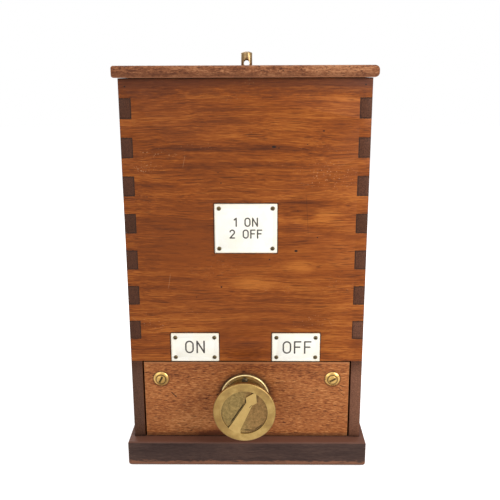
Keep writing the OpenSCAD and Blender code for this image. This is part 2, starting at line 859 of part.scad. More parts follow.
// Centres of one plate's four screws, about the plate's middle
module plate_corners(w, h) {
    for (s = [-1, 1], t = [-1, 1]) {
        translate([s * (w / 2 - plate_screw_in), -plate_t, t * (h / 2 - plate_screw_in)]) {
            rotate([90, 0, 0]) children();
        }
    }
}

module plate_screw_places() {
    translate([0, 0, title_mid]) plate_corners(title_w, title_h) children();
    for (s = [-1, 1]) at_position(s) plate_corners(position_w, position_h) children();
}

// Places its children at the middle of the left (s = -1) or the right (s = 1) lower plate
module at_position(s) translate([position_shift + s * position_x, 0, position_mid]) children();

// Section of a plate of width w, with its face bevelled at both sides
module plate_section(w) {
    polygon([
        [-w / 2, 0],
        [w / 2, 0],
        [w / 2, plate_t - plate_bevel],
        [w / 2 - plate_bevel, plate_t],
        [plate_bevel - w / 2, plate_t],
        [-w / 2, plate_t - plate_bevel]
    ]);
}

// Thin plate about its middle, bevelled all round its face and drilled at its corners
module name_plate(w, h) {
    difference() {
        rotate([90, 0, 0]) intersection() {
            linear_extrude(plate_t) soft_rectangle(w, h, plate_corner_r);
            translate([0, h / 2, 0]) rotate([90, 0, 0]) linear_extrude(h) plate_section(w);
            translate([-w / 2, 0, 0]) rotate([90, 0, 90]) linear_extrude(w) plate_section(h);
        }
        plate_corners(w, h) screw_hole(plate_screw_d, plate_screw_l);
    }
}

module title_plate() {
    color(ivory) in_case() translate([0, 0, title_mid]) name_plate(title_w, title_h);
}

module left_position_plate() {
    color(ivory) in_case() at_position(-1) name_plate(position_w, position_h);
}

module right_position_plate() {
    color(ivory) in_case() at_position(1) name_plate(position_w, position_h);
}

module plate_screws() {
    color(dull_brass) in_case() plate_screw_places() {
        wood_screw(plate_screw_d, plate_screw_l, plate_head_d, 2);
    }
}

// Turned section of the knob: hub, flare and disc, from the hub's end at 0 to the face
module knob_section() {
    back_z = hub_l - disc_t;
    difference() {
        union() {
            square([hub_d / 2, hub_l - recess]);
            difference() {
                translate([0, back_z - hub_flare]) square([hub_d / 2 + hub_flare, hub_flare]);
                translate([hub_d / 2 + hub_flare, back_z - hub_flare]) circle(hub_flare);
            }
            translate([0, back_z]) square([knob_d / 2, disc_t]);
        }
        translate([knob_d / 2, hub_l]) rotate(180) corner_cut(disc_front_r);
        translate([knob_d / 2, back_z]) mirror([1, 0]) corner_cut(disc_back_r);
        translate([-cut, hub_l - recess]) square([knob_d / 2 - rim_w + cut, recess + cut]);
    }
}

// Raised pointer, upright: an arrow head with square shoulders, and a shaft that widens evenly to its tail.
// Its left edge is straight, and its right edge flares out where it meets the rim.
module pointer_outline() {
    tip = knob_d / 2 - rim_w + pointer_root;
    barb_z = tip - pointer_head;
    neck_z = barb_z - pointer_notch;
    tail_z = pointer_tail_l - tip;
    intersection() {
        polygon([
            [-pointer_tip / 2, tip],
            [-pointer_barb / 2, barb_z],
            [-pointer_neck / 2, neck_z],
            [-pointer_shaft / 2, tail_z],
            [-pointer_tail / 2 + pointer_root, -tip],
            [pointer_tail / 2 + pointer_root, -tip],
            [pointer_shaft / 2 - pointer_root, tail_z],
            [pointer_neck / 2, neck_z],
            [pointer_barb / 2, barb_z],
            [pointer_tip / 2, tip]
        ]);
        circle(tip);
    }
}

module control_knob() {
    color(brass) in_case() difference() {
        on_spindle(hub_y) rotate([0, 0, -travel / 2]) {
            rotate_extrude() knob_section();
            translate([0, 0, hub_l - recess - pointer_root]) {
                linear_extrude(recess + pointer_root) pointer_outline();
            }
        }
        on_spindle(hub_y + cut) cylinder(d = spindle_d + 2 * fit_gap, h = knob_bore + fit_gap + cut);
        cross_hole(knob_pin_y, hub_d);
    }
}

// Cross pin of diameter d and length l through the spindle at y, in line with the pointer
module cross_pin(y, l, d = pin_d) {
    on_spindle(y) rotate([0, 0, -travel / 2]) rotate([90, 0, 0]) cylinder(d = d, h = l, center = true);
}

// Hole for a cross pin, through a piece of thickness l
module cross_hole(y, l) cross_pin(y, l + 2 * cut, pin_d + 2 * fit_gap);

module knob_pin() {
    color(dull_brass) in_case() cross_pin(knob_pin_y, hub_d - 2 * pin_sunk);
}

// Turned section of the flange: plate, half round bead on its edge and the boss that carries the spindle
module flange_section() {
    boss_l = boss_back - panel_set_back;
    translate([0, -boss_l]) square([flange_boss_d / 2, boss_l + flange_t + flange_boss_out]);
    square([flange_d / 2, flange_t]);
    translate([flange_d / 2 - bead_r, flange_t]) circle(bead_r);
}

module knob_flange() {
    color(brass) in_case() difference() {
        on_spindle(panel_set_back) rotate_extrude() flange_section();
        on_spindle(boss_back + cut) {
            cylinder(d = spindle_d + 2 * run_gap, h = boss_back - boss_face + 2 * cut);
        }
        flange_screw_places() screw_hole(flange_screw_d, flange_screw_l);
    }
}

module flange_screw_places() {
    for (a = flange_screw_angles) {
        on_spindle(flange_face) rotate([0, 0, a]) translate([flange_screw_r, 0, 0]) children();
    }
}

module flange_screws() {
    color(dull_brass) in_case() flange_screw_places() {
        rotate([0, 0, flange_slot]) wood_screw(flange_screw_d, flange_screw_l, flange_head_d, 2);
    }
}

module spindle() {
    color(brass) in_case() difference() {
        on_spindle(spindle_end) cylinder(d = spindle_d, h = spindle_end - spindle_y);
        for (y = [knob_pin_y, arm_mid, drum_pin_y]) cross_hole(y, spindle_d);
    }
}

module stop_plate() {
    color(brass) in_case() difference() {
        on_spindle(stop_face) cylinder(d = stop_plate_d, h = stop_plate_t);
        on_spindle(stop_face + cut) cylinder(d = flange_boss_d + 2 * fit_gap, h = stop_plate_t + 2 * cut);
        peg_places() translate([0, 0, -cut]) cylinder(d = peg_d + 2 * fit_gap, h = stop_plate_t + 2 * cut);
        stop_screw_places() screw_hole(small_screw_d, stop_screw_l, stop_head_d);
    }
}

// Centres of the stop plate's screws, driven from behind
module stop_screw_places() {
    for (a = stop_screw_angles) {
        on_spindle(stop_face) rotate([0, 0, a]) translate([stop_screw_r, 0, 0]) {
            rotate([180, 0, 0]) children();
        }
    }
}

module stop_plate_screws() {
    color(dull_brass) in_case() stop_screw_places() {
        wood_screw(small_screw_d, stop_screw_l, stop_head_d);
    }
}

// Feet of the stop pegs, one at each end of the arm's travel
module peg_places() {
    for (s = [-1, 1]) {
        on_spindle(stop_face) rotate([0, 0, 90 + s * peg_angle]) translate([peg_r, 0, 0]) children();
    }
}

module stop_pegs() {
    peg_l = arm_y + arm_collar_l - panel_back - fit_gap;
    color(brass) in_case() peg_places() translate([0, 0, stop_plate_t - fit_gap - peg_l]) {
        cylinder(d = peg_d, h = peg_l);
    }
}

module stop_arm() {
    color(brass) in_case() difference() {
        union() {
            on_spindle(arm_y + arm_collar_l) cylinder(d = arm_collar_d, h = arm_collar_l);
            on_spindle(arm_mid + arm_t / 2) rotate([0, 0, -travel / 2]) {
                translate([-arm_w / 2, 0, 0]) cube([arm_w, arm_reach, arm_t]);
            }
        }
        on_spindle(arm_y + arm_collar_l + cut) {
            cylinder(d = spindle_d + 2 * fit_gap, h = arm_collar_l + 2 * cut);
        }
        on_spindle(arm_mid) rotate([0, 0, -travel / 2]) rotate([90, 0, 0]) {
            translate([0, 0, -arm_collar_d / 2]) cylinder(d = pin_d + 2 * fit_gap, h = arm_collar_d + cut);
        }
    }
}

// The arm's pin is driven in from below and stops inside the arm
module stop_arm_pin() {
    color(dull_brass) in_case() cross_pin(arm_mid, arm_collar_d - 2 * pin_sunk);
}

// Angle of the middle of ring i's segment: even rings close at one end of the travel, odd ones at the other
function segment_mid(i) = i % 2 == 0 ? 90 : 90 - travel;

// Sector of a tube about the spindle, from radius a to b, on ring i, grown by g
module ring_sector(i, a, b, w, g) {
    start = segment_mid(i) - segment_angle / 2;
    swell = g * 180 / (PI * b);
    on_spindle(ring_ys[i] + w / 2 + g) rotate([0, 0, start - swell]) {
        rotate_extrude(angle = segment_angle + 2 * swell) translate([a, 0]) square([b - a, w + 2 * g]);
    }
}

module contact_drum() {
    color(ebonite) in_case() difference() {
        on_spindle(drum_y + drum_l) cylinder(d = drum_d, h = drum_l);
        on_spindle(drum_y + drum_l + cut) cylinder(d = spindle_d + 2 * fit_gap, h = drum_l + 2 * cut);
        for (i = [0 : rings - 1]) {
            ring_sector(i, drum_r - segment_t - fit_gap, drum_r + cut, segment_w, fit_gap);
        }
        segment_screw_places() screw_hole(segment_screw_d, segment_screw_l);
        cross_hole(drum_pin_y, drum_d);
    }
}

module drum_pin() {
    color(dull_brass) in_case() cross_pin(drum_pin_y, drum_d - 2 * pin_sunk);
}

module contact_segments() {
    color(brass) in_case() difference() {
        for (i = [0 : rings - 1]) ring_sector(i, drum_r - segment_t, drum_r, segment_w, 0);
        segment_screw_places() screw_hole(segment_screw_d, segment_screw_l, segment_head_d);
    }
}

// Seats of the segment screws: the ends and the middle of each brass segment
module segment_screw_places() {
    for (i = [0 : rings - 1], k = [-1, 0, 1]) {
        on_spindle(ring_ys[i]) rotate([0, 0, segment_mid(i) + k * (segment_angle / 2 - segment_screw_end)]) {
            translate([drum_r - segment_screw_sunk, 0, 0]) rotate([0, 90, 0]) children();
        }
    }
}

module segment_screws() {
    color(dull_brass) in_case() segment_screw_places() {
        wood_screw(segment_screw_d, segment_screw_l, segment_head_d);
    }
}

module thrust_collar() {
    color(brass) in_case() difference() {
        on_spindle(collar_y + collar_l) cylinder(d = collar_d, h = collar_l);
        on_spindle(collar_y + collar_l + cut) cylinder(d = spindle_d + 2 * fit_gap, h = collar_l + 2 * cut);
        on_spindle(collar_y + collar_l / 2) rotate([-90, 0, 0]) {
            cylinder(d = pin_d + 2 * fit_gap, h = collar_d);
        }
    }
}

module collar_grub_screw() {
    grub_l = (collar_d - spindle_d) / 2 - fit_gap - pin_sunk;
    color(dull_brass) in_case() on_spindle(collar_y + collar_l / 2) rotate([-90, 0, 0]) {
        translate([0, 0, spindle_r + fit_gap]) difference() {
            cylinder(d = pin_d, h = grub_l);
            translate([-pin_d, -slot_w / 2, grub_l - slot_depth]) cube([2 * pin_d, slot_w, slot_depth + cut]);
        }
    }
}

// Cast bracket that carries the spindle's back end: arched plate, foot, boss and web
module rear_bearing() {
    arch_w = rear_boss_d + 2 * rear_arch;
    foot_back = rear_plate_y + rear_foot;
    color(brass) in_case() difference() {
        union() {
            translate([spindle_x, rear_plate_y + rear_t, 0]) rotate([90, 0, 0]) linear_extrude(rear_t) {
                translate([0, spindle_z]) circle(d = arch_w);
                translate([-arch_w / 2, 0]) square([arch_w, spindle_z]);
            }
            translate([spindle_x - rear_w / 2, rear_plate_y, 0]) cube([rear_w, rear_foot, rear_t]);
            translate([spindle_x - rear_t / 2, rear_plate_y + rear_t, rear_t]) rotate([90, 0, 90]) rear_web();
            on_spindle(rear_boss_y + rear_boss_l) cylinder(d = rear_boss_d, h = rear_boss_l);
        }
        on_spindle(foot_back + cut) {
            cylinder(d = spindle_d + 2 * run_gap, h = foot_back - rear_boss_y + 2 * cut);
        }
        rear_screw_places() screw_hole(small_screw_d, rear_screw_l);
    }
}

// Web that stiffens the bearing's plate from behind
module rear_web() {
    web_h = spindle_z - rear_boss_d / 2 - rear_t;
    linear_extrude(rear_t) polygon([[0, 0], [rear_foot - 2 * rear_t, 0], [0, web_h]]);
}

module rear_screw_places() {
    y = rear_plate_y + (rear_foot + rear_t) / 2;
    each_side(spindle_x) translate([rear_w / 2 - rear_screw_in, y, rear_t]) children();
}

module rear_bearing_screws() {
    color(dull_brass) in_case() rear_screw_places() {
        wood_screw(small_screw_d, rear_screw_l, small_head_d, 2);
    }
}

// Ebonite bar at the right of the drum that the contact springs are screwed to
module spring_block() {
    difference() {
        translate([spindle_x + spring_block_x - spring_block_w / 2, spring_block_y, 0]) {
            cube([spring_block_w, spring_block_l, spring_block_h]);
        }
        contact_screw_places() screw_hole(contact_d, contact_screw_l);
        block_screw_places() screw_hole(base_screw_d, block_screw_l, base_head_d);
    }
}

module left_spring_block() {
    color(ebonite) in_case() translate([2 * spindle_x, 0, 0]) mirror([1, 0, 0]) spring_block();
}

module right_spring_block() {
    color(ebonite) in_case() spring_block();
}

// Centres of the screws that hold the spring blocks down, one at each end
module block_screw_places() {
    for (y = [spring_block_y + block_screw_in, spring_block_y + spring_block_l - block_screw_in]) {
        each_side(spindle_x) translate([spring_block_x, y, spring_block_h]) children();
    }
}

module spring_block_screws() {
    color(dull_brass) in_case() block_screw_places() wood_screw(base_screw_d, block_screw_l, base_head_d);
}

// Heads of the contact screws stand on the wire loops
module contact_screw_places() {
    for (y = ring_ys) each_side(spindle_x) translate([contact_x, y, loop_z + loop_t]) children();
}

module contact_screws() {
    color(brass) in_case() contact_screw_places() wood_screw(contact_d, contact_screw_l, contact_head_d, 2);
}

// Unit direction of the path p at its point i
function heading(p, i) =
    let (d = p[min(i + 1, len(p) - 1)] - p[max(i - 1, 0)])
    d / norm(d);

// Outline of a strip of thickness t along the path p
function strip_outline(p, t) = [
    for (side = [1, -1], j = [0 : len(p) - 1])
        let (i = side > 0 ? j : len(p) - 1 - j, h = heading(p, i))
        p[i] + side * t / 2 * [-h[1], h[0]]
];

// Path of one contact spring: flat foot, rising arm and a tip that curls away from the drum
function spring_path() =
    let (tip_x = drum_r + contact_gap + spring_t / 2 + tip_r, foot_z = spring_block_h + spring_t / 2)
    concat(
        [[foot_out, foot_z], [foot_in, foot_z]],
        [for (a = [tip_start : -tip_step : tip_end]) [tip_x + tip_r * cos(a), spindle_z + tip_r * sin(a)]]
    );

// The right hand row of springs, drawn from the side and made spring_w wide
module contact_springs() {
    difference() {
        for (y = ring_ys) translate([spindle_x, y + spring_w / 2, 0]) rotate([90, 0, 0]) {
            linear_extrude(spring_w) polygon(strip_outline(spring_path(), spring_t));
        }
        contact_screw_places() screw_hole(contact_d, contact_screw_l);
    }
}

module left_contact_springs() {
    color(spring_bronze) in_case() translate([2 * spindle_x, 0, 0]) mirror([1, 0, 0]) contact_springs();
}

module right_contact_springs() {
    color(spring_bronze) in_case() contact_springs();
}

// Ebonite strip on the back board that holds the right hand terminals
module terminal_strip() {
    difference() {
        translate([spindle_x + terminal_x - strip_w / 2, strip_face, strip_z]) {
            cube([strip_w, strip_t, strip_h]);
        }
        terminal_places() translate([0, 0, -strip_t - cut]) {
            cylinder(d = contact_d + 2 * fit_gap, h = strip_t + 2 * cut);
        }
        strip_screw_places() screw_hole(small_screw_d, strip_screw_l, small_head_d);
    }
}

module left_terminal_strip() {
    color(ebonite) in_case() translate([2 * spindle_x, 0, 0]) mirror([1, 0, 0]) terminal_strip();
}

module right_terminal_strip() {
    color(ebonite) in_case() terminal_strip();
}

module strip_screw_places() {
    for (z = [strip_z + strip_screw_end, strip_z + strip_h - strip_screw_end]) {
        each_side(spindle_x) translate([terminal_x, strip_face, z]) rotate([90, 0, 0]) children();
    }
}

module terminal_strip_screws() {
    color(dull_brass) in_case() strip_screw_places() wood_screw(small_screw_d, strip_screw_l, small_head_d);
}

// Centres of the terminals on the faces of the strips
module terminal_places() {
    for (z = terminal_zs) {
        each_side(spindle_x) translate([terminal_x, strip_face, z]) rotate([90, 0, 0]) children();
    }
}

module terminal_studs() {
    color(brass) in_case() terminal_places() {
        translate([0, 0, fit_gap - strip_t]) cylinder(d = contact_d, h = strip_t + terminal_out);
        cylinder(d = terminal_collar_d, h = terminal_collar_t);
    }
}

module terminal_nuts() {
    color(brass) in_case() terminal_places() translate([0, 0, terminal_collar_t + loop_t]) {
        hex_nut(terminal_flats, terminal_nut_t, contact_d + 2 * fit_gap);
    }
}

// Round nuts for the wires from outside, with a waist between their two flanges
module thumb_nuts() {
    waist_z = (thumb_t - thumb_waist) / 2;
    color(brass) in_case() terminal_places() translate([0, 0, terminal_out - thumb_t - thumb_in]) {
        rotate_extrude() difference() {
            translate([contact_d / 2 + fit_gap, 0]) square([(thumb_d - contact_d) / 2 - fit_gap, thumb_t]);
            translate([thumb_waist_d / 2, waist_z]) square([thumb_d, thumb_waist]);
        }
    }
}

// Straight length of wire along Z
module wire_run(l) cylinder(d = wire_d, h = l, $fn = 24);

// Quarter bend of wire in the XY plane, from the X axis round to the Y axis
module wire_quarter() rotate_extrude(angle = 90, $fn = 24) translate([wire_bend, 0]) circle(d = wire_d);

// One wire at the right: out from its contact screw, up, back to the strip and out to its terminal
module wire(y, z) {
    x0 = contact_x + loop_d / 2;
    x1 = terminal_x - loop_d / 2;
    translate([x0, y, wire_z]) rotate([0, 90, 0]) wire_run(wire_x - wire_bend - x0);
    translate([wire_x - wire_bend, y, wire_z + wire_bend]) rotate([90, 0, 0]) rotate(-90) wire_quarter();
    translate([wire_x, y, wire_z + wire_bend]) wire_run(z - wire_z - 2 * wire_bend);
    translate([wire_x, y + wire_bend, z - wire_bend]) rotate([90, 0, 90]) rotate(90) wire_quarter();
    translate([wire_x, y + wire_bend, z]) rotate([-90, 0, 0]) wire_run(wire_y - y - 2 * wire_bend);
    translate([wire_x + wire_bend, wire_y - wire_bend, z]) rotate(90) wire_quarter();
    translate([wire_x + wire_bend, wire_y, z]) rotate([0, 90, 0]) wire_run(x1 - wire_x - wire_bend);
}

// The front contact goes to the top terminal, so that no wire crosses another
module wires() {
    for (i = [0 : rings - 1]) translate([spindle_x, 0, 0]) wire(ring_ys[i], terminal_zs[i]);
}

module left_wires() {
    color(cotton) in_case() translate([2 * spindle_x, 0, 0]) mirror([1, 0, 0]) wires();
}

module right_wires() {
    color(cotton) in_case() wires();
}

module wire_loop() {
    difference() {
        cylinder(d = loop_d - 2 * fit_gap, h = loop_t);
        translate([0, 0, -cut]) cylinder(d = contact_d + 2 * fit_gap, h = loop_t + 2 * cut);
    }
}

module wire_loops() {
    color(copper) in_case() {
        contact_screw_places() translate([0, 0, -loop_t]) wire_loop();
        terminal_places() translate([0, 0, terminal_collar_t]) wire_loop();
    }
}

base_board();
base_screws();
left_side_board();
right_side_board();
front_board();
back_board();
panel_screw_blocks();
rail_cleats();
lid_rail();
rail_screws();
lock_stud();
stud_washer();
stud_nut();
lid_board();
lid_battens();
batten_screws();
lower_front_panel();
panel_screw_cups();
panel_screws();
title_plate();
left_position_plate();
right_position_plate();
plate_screws();
control_knob();
knob_pin();
knob_flange();
flange_screws();
spindle();
stop_plate();
stop_plate_screws();
stop_pegs();
stop_arm();
stop_arm_pin();
contact_drum();
drum_pin();
contact_segments();
segment_screws();
thrust_collar();
collar_grub_screw();
rear_bearing();
rear_bearing_screws();
left_spring_block();
right_spring_block();
spring_block_screws();
left_contact_springs();
right_contact_springs();
contact_screws();
left_terminal_strip();
right_terminal_strip();
terminal_strip_screws();
terminal_studs();
terminal_nuts();
thumb_nuts();
left_wires();
right_wires();
wire_loops();
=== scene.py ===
# Signal box block switch: finishes, engraved plates and studio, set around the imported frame
from math import cos, hypot, pi, radians, sin
import bpy
from mathutils import Euler, Matrix, Vector


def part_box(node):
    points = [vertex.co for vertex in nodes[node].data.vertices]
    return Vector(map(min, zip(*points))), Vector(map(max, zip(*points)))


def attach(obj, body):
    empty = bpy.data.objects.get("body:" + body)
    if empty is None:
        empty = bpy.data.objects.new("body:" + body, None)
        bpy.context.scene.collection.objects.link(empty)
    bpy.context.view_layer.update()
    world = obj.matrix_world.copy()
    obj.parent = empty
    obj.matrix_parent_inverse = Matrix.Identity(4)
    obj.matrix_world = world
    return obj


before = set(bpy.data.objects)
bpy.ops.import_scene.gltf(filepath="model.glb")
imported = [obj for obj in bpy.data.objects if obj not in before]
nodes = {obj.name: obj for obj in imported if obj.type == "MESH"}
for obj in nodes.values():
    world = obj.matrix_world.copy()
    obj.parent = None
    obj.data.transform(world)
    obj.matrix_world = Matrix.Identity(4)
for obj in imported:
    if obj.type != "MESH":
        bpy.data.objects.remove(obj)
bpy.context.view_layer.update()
scene = bpy.context.scene
mm = 0.001
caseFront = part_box("front_board")[0].y  # front face of the case
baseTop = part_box("base_board")[1].z  # what the case stands on


def onCase(x, y, z):  # millimetres from the middle, the front and the foot of the case
    return Vector((x * mm, caseFront + y * mm, baseTop + z * mm))


def addObject(name, data):
    made = bpy.data.objects.new(name, data)
    scene.collection.objects.link(made)
    return made


# Small helpers that add and wire nodes
def feed(tree, socket, value):
    if isinstance(value, bpy.types.NodeSocket):
        tree.links.new(value, socket)
    else:
        socket.default_value = value


def put(tree, kind, inputs=None, **settings):
    node = tree.nodes.new(kind)
    for key, value in settings.items():
        setattr(node, key, value)
    for key, value in (inputs or {}).items():
        feed(tree, node.inputs[key], value)
    return node


def emptyTree(block):  # of a material or a world
    block.use_nodes = True
    block.node_tree.nodes.clear()
    return block.node_tree


def ownPlace(tree):  # places on the object itself, in metres
    return put(tree, "ShaderNodeTexCoord").outputs["Object"]


def calc(tree, operation, a, b=0.0, clamp=False):
    node = put(tree, "ShaderNodeMath", {0: a, 1: b}, operation=operation, use_clamp=clamp)
    return node.outputs[0]


def plus(tree, a, b):
    return calc(tree, "ADD", a, b)


def minus(tree, a, b):
    return calc(tree, "SUBTRACT", a, b)


def times(tree, a, b):
    return calc(tree, "MULTIPLY", a, b)


def vectorCalc(tree, operation, a, b=(0, 0, 0)):
    node = put(tree, "ShaderNodeVectorMath", {0: a, 1: b}, operation=operation)
    return node.outputs["Value" if operation in ("LENGTH", "DOT_PRODUCT") else "Vector"]


def scaled(tree, vector, amount):
    return put(tree, "ShaderNodeVectorMath", {0: vector, "Scale": amount}, operation="SCALE").outputs[0]


def mixValue(tree, share, a, b):
    return put(tree, "ShaderNodeMix", {0: share, 2: a, 3: b}).outputs[0]


def mixColour(tree, share, a, b, blend="MIX"):
    a, b = [(*tone, 1) if isinstance(tone, tuple) else tone for tone in (a, b)]
    return put(tree, "ShaderNodeMix", {0: share, 6: a, 7: b}, data_type="RGBA", blend_type=blend).outputs[2]


def stain(tree, colour, mask, share, tone):  # lays a tone over a colour, where the mask is
    return mixColour(tree, times(tree, mask, share), colour, tone)


def ramp(tree, value, *stops):  # stops: (place, grey or colour)
    node = put(tree, "ShaderNodeValToRGB", {"Fac": value})
    line = node.color_ramp.elements
    while len(line) < len(stops):
        line.new(1.0)
    for element, (place, tone) in zip(line, stops):
        element.position = place
        element.color = (*tone, 1) if isinstance(tone, tuple) else (tone, tone, tone, 1)
    return node.outputs["Color"]


def span(tree, value, low, high, toLow=0.0, toHigh=1.0):  # smooth step from one level to another
    inputs = {"Value": value, "From Min": low, "From Max": high, "To Min": toLow, "To Max": toHigh}
    return put(tree, "ShaderNodeMapRange", inputs, interpolation_type="SMOOTHSTEP").outputs["Result"]


def noise(tree, vector, scale, detail=2.0, rough=0.5, stretch=None):
    if stretch:
        vector = vectorCalc(tree, "MULTIPLY", vector, stretch)
    inputs = {"Vector": vector, "Scale": scale, "Detail": detail, "Roughness": rough}
    return put(tree, "ShaderNodeTexNoise", inputs).outputs["Fac"]


def newGroup(name, inputs, outputs):  # inputs: each one's own level, or None for a place
    group = bpy.data.node_groups.new(name, "ShaderNodeTree")
    for socket, level in inputs.items():
        kind = "NodeSocketVector" if level is None else "NodeSocketFloat"
        made = group.interface.new_socket(name=socket, in_out="INPUT", socket_type=kind)
        if level is not None:
            made.default_value = level
    for socket in outputs:
        group.interface.new_socket(name=socket, in_out="OUTPUT", socket_type="NodeSocketFloat")
    return group, put(group, "NodeGroupInput").outputs, put(group, "NodeGroupOutput").inputs


def use(tree, group, **values):  # socket names are given without their spaces
    node = put(tree, "ShaderNodeGroup", node_tree=group)
    sockets = {socket.name.replace(" ", ""): socket for socket in node.inputs}
    for name, value in values.items():
        feed(tree, sockets[name], value)
    return node.outputs


# Camera and studio
camera = {
    "place": (10.44, -567.92, 321.65),  # on the case, in millimetres
    "down": 14.401,  # degrees below level
    "aside": -0.706,  # degrees right of straight on
    "roll": -0.196,
    "lens": 49.57,
    "sensor": 36.0,
}
studio = {
    "ambient": 0.45,
    "floorSize": 8.0,
    "floorDrop": 0.2,  # below the base, in millimetres
    "floorTone": 0.82,
    "floorGlow": 0.68,  # on top of the floor's own light, up to white for the camera
    "floorMirrored": 0.22,  # the same near the object, where the lamps light the floor more
    "lamps": {  # place, what it is aimed at and width in metres, watts
        "key softbox": ((0.66, -0.58, 0.46), (0.0, -0.08, 0.17), 0.4, 5.2),
        "fill softbox": ((-0.6, -1.0, 0.5), (0.0, -0.08, 0.17), 0.7, 2.1),
        "top softbox": ((0.1, -0.1, 1.3), (0.0, 0.0, 0.2), 0.9, 4.8),
        "back softbox": ((-0.4, 1.1, 0.8), (0.0, 0.0, 0.2), 0.8, 5.0),
    },
}


def makeCamera():
    data = bpy.data.cameras.new("photo camera")
    data.lens = camera["lens"]
    data.sensor_width = camera["sensor"]
    eye = addObject("photo camera", data)
    turned = Euler((pi / 2 - radians(camera["down"]), 0, -radians(camera["aside"]))).to_matrix()
    turned = turned @ Matrix.Rotation(radians(camera["roll"]), 3, "Z")
    eye.matrix_world = Matrix.Translation(onCase(*camera["place"])) @ turned.to_4x4()
    scene.camera = eye


def makeLamps():
    for name, (place, target, width, watts) in studio["lamps"].items():
        data = bpy.data.lights.new(name, "AREA")
        data.shape = "SQUARE"
        data.size = width
        data.energy = watts
        lamp = addObject(name, data)
        lamp.location = place
        lamp.rotation_euler = (Vector(target) - Vector(place)).to_track_quat("-Z", "Y").to_euler()


def seenAs(tree, straight, mirrored):  # a level for the camera and one for metal and glass, or nothing
    path = put(tree, "ShaderNodeLightPath").outputs
    mirror = calc(tree, "MAXIMUM", path["Is Glossy Ray"], path["Is Transmission Ray"])
    mirror = times(tree, mirror, mirrored)
    return calc(tree, "MAXIMUM", times(tree, path["Is Camera Ray"], straight), mirror)


def makeBackground():  # white to the camera and in reflections, dimmer as a light
    world = bpy.data.worlds.new("white studio")
    scene.world = world
    tree = emptyTree(world)
    level = calc(tree, "MAXIMUM", seenAs(tree, 1.0, 1.0), studio["ambient"])
    back = put(tree, "ShaderNodeBackground", {"Color": (1, 1, 1, 1), "Strength": level})
    put(tree, "ShaderNodeOutputWorld", {"Surface": back.outputs[0]})


def makeFloor():
    half = studio["floorSize"] / 2
    mesh = bpy.data.meshes.new("floor")
    corners = [(-half, -half, 0), (half, -half, 0), (half, half, 0), (-half, half, 0)]
    mesh.from_pydata(corners, [], [(0, 1, 2, 3)])
    floor = addObject("floor", mesh)
    floor.location.z = -studio["floorDrop"] * mm
    paper = bpy.data.materials.new("white paper floor")
    tree = emptyTree(paper)
    tone = studio["floorTone"]
    matt = put(tree, "ShaderNodeBsdfDiffuse", {"Color": (tone, tone, tone, 1)})
    glow = seenAs(tree, studio["floorGlow"], studio["floorMirrored"])
    glow = put(tree, "ShaderNodeEmission", {"Color": (1, 1, 1, 1), "Strength": glow})
    both = put(tree, "ShaderNodeAddShader", {0: matt.outputs[0], 1: glow.outputs[0]})
    put(tree, "ShaderNodeOutputMaterial", {"Surface": both.outputs[0]})
    mesh.materials.append(paper)


makeCamera()
makeLamps()
makeBackground()
makeFloor()
print("studio ready")


# Effects that several finishes share
joints = {"rows": 20, "front": 14.2, "back": 20.3}  # finger widths: in all, and as far as they show
borders = {  # how closely a mask's border wanders, to the metre
    "blob": (90, 300, 300),
    "band": (120, 120, 500),
    "outline": 420.0,
    "finger": 700.0,
}
grainShape = {
    "waves": (7, 18, 18),  # to the metre, along the grain first
    "bend": (0, 4, 4),  # how much of the waviness goes each way
    "specks": 1150.0,  # to the metre
    "clusters": 34.0,
}


def makeGrain():  # X runs along the grain, in metres; each layer has its thickness and length
    layers = ("Cloud", "Streak", "Fibre", "Pore")
    sizes = [layer + size for layer in layers for size in (" Thickness", " Length")]
    group, given, out = newGroup("wood grain", {
        "Vector": None, "Seed": 0.0, "Waviness": 0.002, **dict.fromkeys(sizes, 0.001),
    }, ["Clouds", "Streaks", "Fibre", "Pores", "Specks", "Clusters"])
    shift = put(group, "ShaderNodeCombineXYZ", {0: given["Seed"], 1: given["Seed"], 2: given["Seed"]})
    placed = vectorCalc(group, "ADD", given["Vector"], shift.outputs[0])
    wave = vectorCalc(group, "MULTIPLY", placed, grainShape["waves"])
    wave = put(group, "ShaderNodeTexNoise", {"Vector": wave, "Scale": 1.0, "Detail": 2.0}).outputs["Color"]
    wave = scaled(group, vectorCalc(group, "SUBTRACT", wave, (0.5, 0.5, 0.5)), given["Waviness"])
    bent = vectorCalc(group, "ADD", placed, vectorCalc(group, "MULTIPLY", wave, grainShape["bend"]))

    def layer(name, detail, rough):
        across = calc(group, "DIVIDE", 1.0, given[name + " Thickness"])
        along = calc(group, "DIVIDE", 1.0, given[name + " Length"])
        sizes = put(group, "ShaderNodeCombineXYZ", {0: along, 1: across, 2: across})
        return noise(group, vectorCalc(group, "MULTIPLY", bent, sizes.outputs[0]), 1.0, detail, rough)

    feed(group, out["Clouds"], layer("Cloud", 2.0, 0.5))
    feed(group, out["Streaks"], layer("Streak", 3.0, 0.6))
    feed(group, out["Fibre"], layer("Fibre", 2.0, 0.65))
    feed(group, out["Pores"], span(group, layer("Pore", 1.0, 0.5), 0.6, 0.72))
    specks = noise(group, bent, grainShape["specks"], 0.0, 0.5, stretch=(0.7, 1.0, 1.0))
    clusters = noise(group, placed, grainShape["clusters"], 2.0, 0.6, stretch=(0.5, 1.0, 1.0))
    feed(group, out["Specks"], span(group, specks, 0.72, 0.8))
    feed(group, out["Clusters"], span(group, clusters, 0.55, 0.66))
    return group


